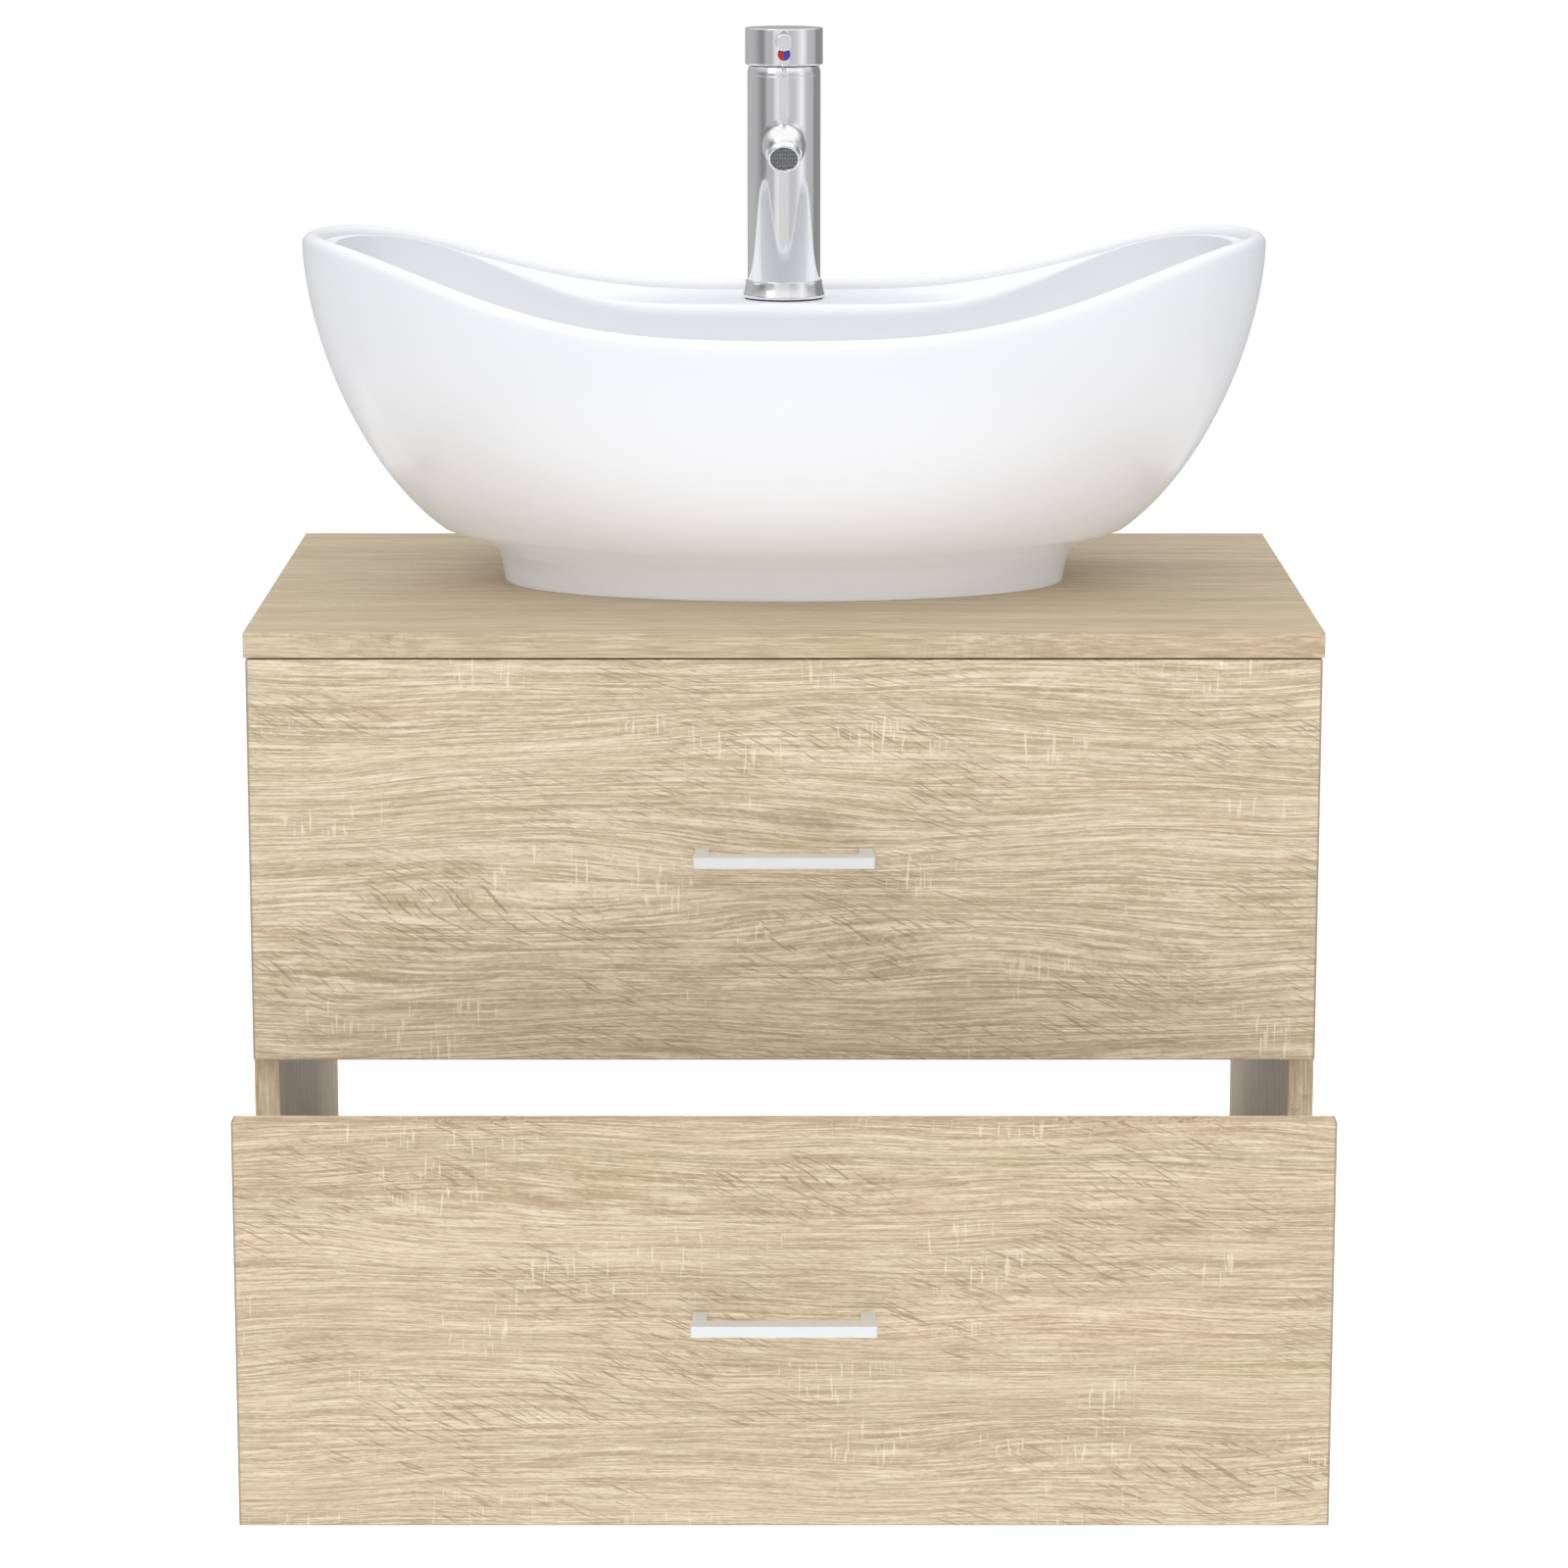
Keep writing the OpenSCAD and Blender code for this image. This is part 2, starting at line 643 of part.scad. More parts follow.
// Steps of the foot ring: out from the body at its top, and up to the start of its slope
foot_step = 1.05;
foot_rise = gasket_t + 1.6;
thread_h = 12;
thread_z = tap_body_h - thread_h;
// Places of the water ways and of the fixing stud in the body
port_r = 3;
way_r = inlet_r - 0.5;
way_above = 4;
port_ahead = 6;
stud_in = 14;
stud_below = 48;
// Spigot of the spout, and the seat of the aerator in its round end
spigot_start = 14;
spigot_len = 20;
aerator_seat = 3.5;
screen_in = 2.2;
// Cartridge, its moving carrier and the pin that the spindle tilts on
collar_r = 13;
collar_h = 6;
carrier_h = 12.5;
carrier_play = 0.3;
slot_play = 0.4;
hub_r = 4;
pin_r = 1.5;
pin_len = 16;
pin_play = 0.05;
thread_play = 0.1;
dome_cut = 14;
dome_hole_r = 17;
// Hollow cap, with a boss in its middle that holds the lever and the grub screw
cap_edge = 0.8;
cap_wall = 1.75;
boss_r = 7.5;
boss_up = 16;
lever_in = 12;
lever_tip = 0.6;
grub_r = 2.5;
mark_in = 2;
mark_t = 2.3;
// Fixing under the ledge
clamp_r = 20;
clamp_t = 3;
clamp_edge = 4;
spot_h = 20;
stud_nut_r = 7.5;
stud_nut_h = 6.5;

module at_tap(z = 0) translate([0, tap_y, top_z + ledge_h + z]) children();

// Across the tap, with +Z turned to point at the user
module ahead(z) translate([0, 0, z]) rotate([90, 0, 0]) children();

module tap_gasket() color("dimgray") at_tap() ring(tap_r + 1.5, tap_hole_r - 0.5, gasket_t);

module tap_foot_ring() color("silver") at_tap() rotate_extrude() polygon(concat(
    [[tap_r, tap_foot_h], [tap_r, gasket_t], [tap_foot_r - 0.8, gasket_t],
     [tap_foot_r, gasket_t + 1]],
    [for (t = [0:0.125:1]) [tap_foot_r + (tap_r + foot_step - tap_foot_r) * (1 - pow(1 - t, 1.4)),
        foot_rise + (tap_foot_h - 0.4 - foot_rise) * t]],
    [[tap_r + foot_step - 0.4, tap_foot_h]]));

thread_r = 20;
inlet_x = 11;
inlet_y = -4;
stud_y = 11.5;
water_r = 7;

module tap_body() color("silver") at_tap() difference() {
    translate([0, 0, gasket_t]) cylinder(r = tap_r, h = tap_body_h - gasket_t);
    translate([0, 0, seat_z]) cylinder(r = cartridge_r + thread_play, h = tap_body_h);
    translate([0, 0, thread_z]) cylinder(r = thread_r, h = tap_body_h);
    ahead(spout_z) cylinder(r = water_r, h = tap_r);
    ahead(spout_z) translate([0, 0, spigot_start]) cylinder(r = spigot_r, h = tap_r);
    translate([0, -port_ahead, spout_z]) cylinder(r = port_r, h = spout_drop);
    for (side = [-1, 1]) translate([side * inlet_x, inlet_y, 0]) {
        cylinder(r = inlet_r, h = gasket_t + inlet_h);
        cylinder(r = way_r, h = spout_z - water_r - way_above);
        cylinder(r = port_r, h = tap_body_h);
    }
    translate([0, stud_y, 0]) cylinder(r = stud_r, h = stud_in);
}

// Direction of the water outlet, from the centre of the spout's round end
module outlet() ahead(spout_z) translate([0, 0, spout_reach])
    rotate([outlet_angle, 0, 0]) children();

ball_r = spout_r + 0.35;

module tap_spout() color("silver") at_tap() difference() {
    union() {
        difference() {
            ahead(spout_z) cylinder(r = spout_r, h = spout_reach);
            translate([0, 0, spout_z - 2 * spout_r]) cylinder(r = tap_r, h = 4 * spout_r);
        }
        ahead(spout_z) translate([0, 0, spigot_start]) cylinder(r = spigot_r, h = spigot_len);
        outlet() sphere(r = ball_r);
    }
    ahead(spout_z) cylinder(r = water_r, h = spout_reach);
    outlet() cylinder(r = water_r - 1, h = spout_r);
    outlet() translate([0, 0, aerator_seat]) cylinder(r = aerator_r, h = spout_r);
}

aerator_wall = 1.6;
aerator_out = 1.2;

module aerator_housing() color("silver") at_tap() outlet() translate([0, 0, aerator_seat])
    ring(aerator_r, aerator_r - aerator_wall, spout_r - aerator_seat + aerator_out);

module aerator_screen() color("dimgray") at_tap() outlet()
    translate([0, 0, spout_r + aerator_out - screen_in])
        cylinder(r = aerator_r - aerator_wall, h = 1);

carrier_r = 9;
carrier_z = pivot_z - 7;

module tap_cartridge() color("white") at_tap() difference() {
    union() {
        translate([0, 0, seat_z]) cylinder(r = cartridge_r, h = pivot_z + 2 - seat_z);
        translate([0, 0, pivot_z]) cylinder(r = collar_r, h = collar_h);
    }
    translate([0, 0, carrier_z - carrier_play]) cylinder(r = carrier_r, h = 20);
    for (x = [-inlet_x, inlet_x]) translate([x, inlet_y, seat_z - cut])
        cylinder(r = port_r, h = 6);
    translate([0, -port_ahead, seat_z - cut]) cylinder(r = port_r, h = 6);
}

// The dome under the cap, screwed into the body over the cartridge
module cartridge_nut() color("silver") at_tap() difference() {
    union() {
        translate([0, 0, thread_z]) cylinder(r = thread_r, h = tap_body_h - thread_z);
        intersection() {
            translate([0, 0, pivot_z]) sphere(r = dome_r);
            translate([0, 0, tap_body_h])
                cylinder(r = tap_r, h = pivot_z + dome_cut - tap_body_h);
        }
    }
    translate([0, 0, thread_z - cut])
        cylinder(r = cartridge_r + thread_play, h = pivot_z + 3 - thread_z);
    cylinder(r = collar_r + snug, h = cap_top);
    translate([0, 0, pivot_z + collar_h + 0.5]) cylinder(r = dome_hole_r, h = cap_h);
}

module spindle_carrier() color("white") at_tap() difference() {
    translate([0, 0, carrier_z]) cylinder(r = carrier_r - pin_play, h = carrier_h);
    translate([-spindle_r - slot_play, -carrier_r, carrier_z + 2])
        cube([2 * (spindle_r + slot_play), 2 * carrier_r, carrier_h]);
    translate([0, 0, pivot_z]) along_x(4 * carrier_r) cylinder(r = pin_r, h = 4 * carrier_r);
}

module spindle_pin() color("silver") at_tap(pivot_z)
    along_x(pin_len) cylinder(r = pin_r, h = pin_len);

module cartridge_spindle() color("white") at_tap() difference() {
    union() {
        translate([0, 0, pivot_z]) cylinder(r = spindle_r, h = lever_z - lever_r - pivot_z);
        translate([0, 0, pivot_z]) along_x(2 * spindle_r) cylinder(r = hub_r, h = 2 * spindle_r);
    }
    translate([0, 0, pivot_z]) along_x(4 * spindle_r)
        cylinder(r = pin_r + pin_play, h = 4 * spindle_r);
}

module handle_cap() color("silver") at_tap() difference() {
    translate([0, 0, cap_z]) rotate_extrude() polygon([
        [0, 0], [cap_r - cap_edge, 0], [cap_r, cap_edge],
        [cap_r, cap_h - cap_edge], [cap_r - cap_edge, cap_h], [0, cap_h]]);
    difference() {
        intersection() {
            translate([0, 0, pivot_z]) sphere(r = dome_r + dome_gap);
            cylinder(r = cap_r - cap_wall, h = cap_top);
        }
        translate([0, 0, pivot_z + boss_up]) cylinder(r = boss_r, h = cap_h);
    }
    translate([0, 0, cap_z]) cylinder(r = spindle_r, h = lever_z - lever_r - cap_z);
    ahead(lever_z) translate([0, 0, lever_in]) cylinder(r = lever_r, h = cap_r);
    ahead(mark_z) cylinder(r = grub_r, h = cap_r);
    ahead(mark_z) translate([0, 0, cap_r - mark_in]) cylinder(r = mark_r, h = 2 * mark_in);
}

module lever_pin() color("silver") at_tap() ahead(lever_z) {
    translate([0, 0, lever_in]) cylinder(r = lever_r, h = lever_reach - lever_in - lever_tip);
    translate([0, 0, lever_reach - lever_tip])
        cylinder(r1 = lever_r, r2 = lever_r - lever_tip, h = lever_tip);
}

// Half of the round mark: side 1 is the right half
module mark(side) at_tap() ahead(mark_z) translate([0, 0, cap_r - mark_in]) intersection() {
    cylinder(r = mark_r, h = mark_t);
    translate([side > 0 ? 0 : -mark_r - cut, -mark_r - cut, -cut])
        cube([mark_r + cut, 2 * (mark_r + cut), 2 * mark_t]);
}

module indicator_hot() color("red") mark(-1);
module indicator_cold() color("blue") mark(1);

module grub_screw() color("dimgray") at_tap() ahead(mark_z)
    translate([0, 0, spindle_r]) cylinder(r = grub_r, h = cap_r - mark_in - spindle_r);

module tap_stud() color("silver") at_tap()
    translate([0, stud_y, -stud_below]) cylinder(r = stud_r, h = stud_below + stud_in);

module tap_clamp_plate() color("silver") at_tap(-ledge_t - clamp_t) difference() {
    cylinder(r = clamp_r, h = clamp_t);
    translate([-2 * clamp_r, clamp_edge - 2 * clamp_r, -cut])
        cube([4 * clamp_r, 2 * clamp_r, clamp_t + 2 * cut]);
    translate([0, stud_y, -cut]) cylinder(r = stud_r, h = clamp_t + 2 * cut);
}

module tap_stud_nut() color("silver") at_tap(-ledge_t - clamp_t - stud_nut_h)
    translate([0, stud_y, 0]) difference() {
        cylinder(r = stud_nut_r, h = stud_nut_h, $fn = 6);
        translate([0, 0, -cut]) cylinder(r = stud_r, h = stud_nut_h + 2 * cut);
    }

// ---------- nodes ----------

module left() mirror([1, 0, 0]) children();

top_panel();
left() color("burlywood") side_panel();  // side_panel_left
color("burlywood") side_panel();  // side_panel_right
bottom_panel();
back_rail(0);  // back_rail_upper
back_rail(base_z + board + rail_h / 2);  // back_rail_lower
color("tan") dowels(dowel_r);  // carcass_dowels
basin();
waste_gasket_upper();
waste_body();
waste_gasket_lower();
waste_nut();
waste_tailpiece();
tap_foot_ring();
tap_gasket();
tap_body();
tap_spout();
aerator_housing();
aerator_screen();
tap_cartridge();
cartridge_nut();
tap_stud();
tap_clamp_plate();
tap_stud_nut();
at_runner(-1) channel(upper_box_z);  // runner_upper_left
at_runner(1) channel(upper_box_z);  // runner_upper_right
at_runner(-1) channel(lower_box_z);  // runner_lower_left
at_runner(1) channel(lower_box_z);  // runner_lower_right
front_rollers(upper_box_z);  // upper_front_rollers
front_rollers(lower_box_z);  // lower_front_rollers
front(upper_front_z);  // upper_front
left() box_side(upper_box_z);  // upper_side_left
box_side(upper_box_z);  // upper_side_right
for (side = [0, 1]) mirror([side, 0, 0])  // upper_back
    box_back(upper_box_z, notch_w / 2 + surround_t, box_inner / 2);
box_bottom(upper_box_z, true);  // upper_bottom
siphon_surround();
handle(upper_front_z);  // upper_handle
handle_screws(upper_front_z);  // upper_handle_screws
at_runner(-1) rail(upper_box_z);  // upper_rail_left
at_runner(1) rail(upper_box_z);  // upper_rail_right
rear_rollers(upper_box_z);  // upper_rear_rollers
lower_place() front(lower_front_z);  // lower_front
lower_place() left() box_side(lower_box_z);  // lower_side_left
lower_place() box_side(lower_box_z);  // lower_side_right
lower_place()  // lower_back
    box_back(lower_box_z, -box_inner / 2, box_inner / 2);
lower_place() box_bottom(lower_box_z, false);  // lower_bottom
lower_place() handle(lower_front_z);  // lower_handle
lower_place() handle_screws(lower_front_z);  // lower_handle_screws
lower_place() at_runner(-1) rail(lower_box_z);  // lower_rail_left
lower_place() at_runner(1) rail(lower_box_z);  // lower_rail_right
lower_place() rear_rollers(lower_box_z);  // lower_rear_rollers
spindle_carrier();
spindle_pin();
cartridge_spindle();
handle_cap();
lever_pin();
indicator_hot();
indicator_cold();
grub_screw();
waste_plug();
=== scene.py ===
"""A wall-hung washstand: oak-look cabinet with two drawers, ceramic basin and lever tap."""

import json
import math

import bmesh
import bpy
import numpy as np
from mathutils import Matrix, Vector

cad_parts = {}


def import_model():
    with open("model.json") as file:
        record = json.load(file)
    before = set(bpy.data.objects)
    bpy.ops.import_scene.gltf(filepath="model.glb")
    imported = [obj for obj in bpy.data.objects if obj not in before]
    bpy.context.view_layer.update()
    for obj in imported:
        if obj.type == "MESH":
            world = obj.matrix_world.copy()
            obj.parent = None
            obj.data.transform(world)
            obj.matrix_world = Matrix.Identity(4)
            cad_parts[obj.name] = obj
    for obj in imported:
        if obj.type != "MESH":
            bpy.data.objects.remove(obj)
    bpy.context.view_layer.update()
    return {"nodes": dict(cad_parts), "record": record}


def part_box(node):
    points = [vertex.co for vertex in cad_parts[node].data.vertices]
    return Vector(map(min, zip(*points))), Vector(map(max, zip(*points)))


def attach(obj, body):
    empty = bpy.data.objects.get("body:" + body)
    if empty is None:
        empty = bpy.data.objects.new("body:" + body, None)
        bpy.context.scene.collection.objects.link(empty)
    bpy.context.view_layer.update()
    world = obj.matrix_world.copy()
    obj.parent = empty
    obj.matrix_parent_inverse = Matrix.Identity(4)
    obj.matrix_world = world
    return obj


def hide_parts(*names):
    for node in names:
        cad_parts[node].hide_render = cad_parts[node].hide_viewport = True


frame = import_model()
NODES = frame["nodes"]
MM = 0.001
CABINET, UPPER, LOWER = "cabinet", "upper_drawer", "lower_drawer"
LEVER, STOPPER = "tap_lever", "waste_stopper"
X, Y, Z = 0, 1, 2


def cosd(a): return np.cos(np.radians(a))
def sind(a): return np.sin(np.radians(a))


# ---------- materials ----------

class Shader:
    """A material with a Principled shader, and short ways to add and join its nodes."""

    def __init__(self, name, **sockets):
        self.material = bpy.data.materials.new(name)
        self.material.use_nodes = True
        self.tree = self.material.node_tree
        self.bsdf = self.tree.nodes["Principled BSDF"]
        for key, value in sockets.items():
            self.bsdf.inputs[key.replace("_", " ")].default_value = value

    def put(self, socket, value):
        if isinstance(value, bpy.types.NodeSocket):
            self.tree.links.new(value, socket)
        elif value is not None:
            socket.default_value = value

    def node(self, kind, inputs=(), **settings):
        made = self.tree.nodes.new("ShaderNode" + kind)
        for key, value in settings.items():
            setattr(made, key, value)
        for key, value in dict(inputs).items():
            self.put(made.inputs[key], value)
        return made

    def math(self, operation, a, b=None, c=None, clamp=False):
        made = self.node("Math", operation=operation, use_clamp=clamp)
        for index, value in enumerate((a, b, c)):
            self.put(made.inputs[index], value)
        return made.outputs[0]

    def place(self):
        """The row frame's x, y and z of the shaded point, in millimetres."""
        at = self.node("TexCoord").outputs["Object"]
        split = self.node("SeparateXYZ", {0: at})
        return [self.math("MULTIPLY", split.outputs[i], 1000.0) for i in range(3)]

    def point(self, x, y, z):
        return self.node("CombineXYZ", {0: x, 1: y, 2: z}).outputs[0]

    def scaled(self, u, v, w, per_u, per_v, per_w, shift=0.0):
        """A point whose axes are stretched: one unit is per_u mm along u, and so on."""
        parts = [self.math("MULTIPLY_ADD", a, 1 / p, shift + i * 3.7)
                 for i, (a, p) in enumerate(((u, per_u), (v, per_v), (w, per_w)))]
        return self.point(*parts)

    def noise(self, at, detail=2.0, rough=0.5, distortion=0.0):
        return self.node("TexNoise", {"Vector": at, "Scale": 1.0, "Detail": detail,
                                      "Roughness": rough, "Distortion": distortion}).outputs[0]

    def span(self, value, low, high, to_low=0.0, to_high=1.0, smooth=True):
        made = self.node("MapRange", {"Value": value, "From Min": low, "From Max": high,
                                      "To Min": to_low, "To Max": to_high})
        made.interpolation_type = "SMOOTHSTEP" if smooth else "LINEAR"
        return made.outputs[0]

    def mix(self, share, a, b, blend="MIX"):
        made = self.node("Mix", data_type="RGBA", blend_type=blend, clamp_factor=True)
        for socket, value in ((made.inputs[0], share), (made.inputs[6], a), (made.inputs[7], b)):
            if isinstance(value, tuple) and len(value) == 3:
                value = (*value, 1.0)
            self.put(socket, value)
        return made.outputs[2]

    def bump(self, height, strength, distance_mm, below=None):
        made = self.node("Bump", {"Strength": strength, "Distance": distance_mm * MM,
                                  "Height": height})
        if below is not None:
            self.put(made.inputs["Normal"], below)
        return made.outputs[0]

    def finish(self, colour=None, rough=None, normal=None):
        for key, value in (("Base Color", colour), ("Roughness", rough), ("Normal", normal)):
            if value is not None:
                self.put(self.bsdf.inputs[key], value)
        return self.material


def oak(name, along, across, seed, tone=(1.0, 1.0, 1.0), calm=0.0, band=None):
    """Oak-look laminate. Its grain runs along one axis, and its figure lies across another.

    calm from 0 to 1 softens the pores and cuts. band=(half width, lowest z) draws thin edge lines.
    """
    s = Shader(name, Specular_IOR_Level=0.35)
    xyz = s.place()
    u, v = xyz[along], xyz[across]
    w = xyz[3 - along - across]
    keep = 1.0 - calm

    # The figure: slow waves bend the straight grain into arches and a few ovals
    slow = s.noise(s.scaled(u, v, w, 330, 78, 160, seed), detail=1.0)
    lean = s.noise(s.scaled(u, v, w, 120, 40, 90, seed + 11), detail=1.5)
    sway = s.math("MULTIPLY_ADD", slow, 46.0, s.math("MULTIPLY", lean, 6.0))
    g = s.math("ADD", v, sway)

    # Broad bands of cream, tan, olive and pink
    wide = s.noise(s.scaled(u, g, w, 620, 26, 90, seed + 3), detail=2.5, rough=0.55)
    hue = s.noise(s.scaled(u, g, w, 480, 19, 90, seed + 17), detail=2.0, rough=0.5)
    thin = s.noise(s.scaled(u, g, w, 300, 5.5, 9, seed + 29), detail=2.0, rough=0.6)
    rings = s.noise(s.scaled(u, g, w, 520, 2.9, 8, seed + 51), detail=1.0)
    base = s.mix(s.span(wide, 0.30, 0.72), (0.705, 0.587, 0.412), (0.610, 0.492, 0.330))
    base = s.mix(s.math("MULTIPLY", s.span(hue, 0.54, 0.70), 0.55), base, (0.565, 0.478, 0.296))
    base = s.mix(s.math("MULTIPLY", s.span(hue, 0.46, 0.32), 0.55), base, (0.680, 0.500, 0.358))
    base = s.mix(s.math("MULTIPLY", s.span(thin, 0.54, 0.68), 0.45), base, (0.500, 0.392, 0.255))
    base = s.mix(s.math("MULTIPLY", s.span(thin, 0.45, 0.32), 0.40), base, (0.830, 0.715, 0.540))

    base = s.mix(s.math("MULTIPLY", s.span(rings, 0.52, 0.62), 0.42 * keep + 0.10), base,
                 (0.470, 0.362, 0.230))
    base = s.mix(s.math("MULTIPLY", s.span(rings, 0.47, 0.38), 0.30 * keep), base,
                 (0.830, 0.715, 0.535))

    # Fine fibres, dark and pale
    fibre = s.noise(s.scaled(u, g, w, 40, 0.95, 1.3, seed + 5), detail=2.5, rough=0.62)
    ripple = s.noise(s.scaled(u, g, w, 5.0, 1.2, 2, seed + 43), detail=2.0, rough=0.6)
    dark = s.math("MULTIPLY", s.span(fibre, 0.50, 0.64), 0.56 - 0.26 * calm)
    pale = s.math("MULTIPLY", s.span(fibre, 0.49, 0.36), 0.62 - 0.36 * calm)
    wood = s.mix(dark, base, (0.375, 0.282, 0.165))
    wood = s.mix(pale, wood, (0.930, 0.830, 0.650))
    wood = s.mix(s.math("MULTIPLY", s.span(ripple, 0.53, 0.68), 0.30 * keep + 0.05), wood,
                 (0.400, 0.305, 0.185))
    wood = s.mix(s.math("MULTIPLY", s.span(ripple, 0.47, 0.34), 0.26 * keep), wood,
                 (0.900, 0.800, 0.620))

    # Short dark pores in patches, leaning down to the right
    lean_u = s.math("ADD", s.math("MULTIPLY", u, 0.93), s.math("MULTIPLY", g, -0.36))
    lean_v = s.math("ADD", s.math("MULTIPLY", u, 0.36), s.math("MULTIPLY", g, 0.93))
    pores = s.noise(s.scaled(lean_u, lean_v, w, 15, 1.05, 8, seed + 7), detail=1.0, rough=0.5)
    patch = s.noise(s.scaled(u, v, w, 130, 58, 120, seed + 19), detail=1.0)
    pore = s.math("MULTIPLY", s.span(pores, 0.585, 0.66), s.span(patch, 0.46, 0.58))
    straight = s.noise(s.scaled(u, g, w, 15, 1.0, 8, seed + 23), detail=1.0)
    pore = s.math("MAXIMUM", pore, s.math("MULTIPLY", s.span(straight, 0.66, 0.76), 0.7))
    wood = s.mix(s.math("MULTIPLY", pore, 0.50 * keep + 0.08), wood, (0.300, 0.218, 0.130))

    # Short pale saw cuts across the grain, in patches
    cuts = s.noise(s.scaled(u, v, w, 2.0, 19, 20, seed + 31), detail=1.0)
    spots = s.noise(s.scaled(u, v, w, 85, 42, 90, seed + 37), detail=1.0)
    cut = s.math("MULTIPLY", s.span(cuts, 0.60, 0.70), s.span(spots, 0.57, 0.66))
    wood = s.mix(s.math("MULTIPLY", cut, 0.52 * keep), wood, (0.940, 0.850, 0.680))

    if tone != (1.0, 1.0, 1.0):
        wood = s.mix(1.0, wood, tone, "MULTIPLY")
    if band:
        half, low = band
        side = s.span(s.math("ABSOLUTE", xyz[0]), half - 1.5, half - 1.1, smooth=False)
        foot = s.span(xyz[2], low + 0.9, low + 0.6, smooth=False)
        edge = s.math("MULTIPLY", s.math("MAXIMUM", side, foot), 0.75)
        wood = s.mix(edge, wood, (0.330, 0.262, 0.215))
    rough = s.math("MULTIPLY_ADD", fibre, 0.18, 0.46)
    height = s.math("SUBTRACT", s.math("MULTIPLY", fibre, 0.5), pore)
    return s.finish(wood, rough, s.bump(height, 0.35 * keep + 0.1, 0.12))


def glaze():
    """White glazed ceramic: a faint pooling of colour, and a skin that is not quite flat."""
    s = Shader("ceramic_glaze_white", Specular_IOR_Level=0.30, Coat_Weight=0.06,
               Coat_Roughness=0.08)
    x, y, z = s.place()
    pool = s.noise(s.scaled(x, y, z, 90, 90, 90, 2.0), detail=2.0)
    speck = s.noise(s.scaled(x, y, z, 1.1, 1.1, 1.1, 5.0), detail=1.0)
    colour = s.mix(pool, (0.765, 0.774, 0.798), (0.752, 0.761, 0.785))
    colour = s.mix(s.span(speck, 0.80, 0.86), colour, (0.74, 0.73, 0.71))
    rough = s.math("MULTIPLY_ADD", pool, 0.08, 0.26)
    swell = s.noise(s.scaled(x, y, z, 34, 34, 34, 9.0), detail=1.0)
    return s.finish(colour, rough, s.bump(swell, 0.12, 0.5))


def metal(name, low, high, rough, spread, brushed=None, bump=0.04, metallic=1.0):
    """Plated or brushed metal. brushed is the axis that the brush lines follow."""
    s = Shader(name, Metallic=metallic)
    xyz = s.place()
    film = s.noise(s.scaled(*xyz, 21, 21, 21, 1.0), detail=3.0)
    colour = s.mix(film, low, high)
    fine = s.noise(s.scaled(*xyz, 2.2, 2.2, 2.2, 6.0), detail=2.0)
    if brushed is not None:
        steps = [0.25, 0.25, 0.25]
        steps[brushed] = 14.0
        fine = s.noise(s.scaled(*xyz, *steps, 6.0), detail=2.0)
    return s.finish(colour, s.math("MULTIPLY_ADD", fine, spread, rough),
                    s.bump(fine, bump, 0.05))


def moulded(name, low, high, rough, grain=0.6, **sockets):
    """Moulded or coated plastic and rubber with a fine grain."""
    s = Shader(name, **sockets)
    xyz = s.place()
    cloud = s.noise(s.scaled(*xyz, 34, 34, 34, 3.0), detail=2.0)
    fine = s.noise(s.scaled(*xyz, grain, grain, grain, 8.0), detail=2.0)
    return s.finish(s.mix(cloud, low, high), s.math("MULTIPLY_ADD", fine, 0.16, rough),
                    s.bump(fine, 0.25, 0.06))


def raw_wood(name, along):
    """Pale turned beech with short flecks."""
    s = Shader(name)
    xyz = s.place()
    per = [1.2, 1.2, 1.2]
    per[along] = 16.0
    fleck = s.noise(s.scaled(*xyz, *per, 4.0), detail=2.0)
    colour = s.mix(s.span(fleck, 0.35, 0.70), (0.640, 0.480, 0.310), (0.470, 0.320, 0.185))
    return s.finish(colour, s.math("MULTIPLY_ADD", fleck, 0.1, 0.6), s.bump(fleck, 0.3, 0.1))


def mm_box(node):
    low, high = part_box(node)
    return low / MM, high / MM


front_low, front_high = mm_box("upper_front")
half_front = front_high.x
OAK_UPPER = oak("oak_upper_front", X, Z, 0.0, band=(half_front, front_low.z))
OAK_LOWER = oak("oak_lower_front", X, Z, 40.0, tone=(0.94, 0.91, 0.90),
                band=(half_front, mm_box("lower_front")[0].z))
OAK_TOP = oak("oak_top", X, Y, 80.0, tone=(0.90, 0.89, 0.87), calm=0.75)
OAK_SIDE = oak("oak_side", Z, Y, 120.0, tone=(0.90, 0.89, 0.87), calm=0.6)
OAK_INNER = oak("oak_inner", X, Y, 160.0, calm=0.3)
OAK_RAIL = oak("oak_rail", X, Z, 200.0, calm=0.3)

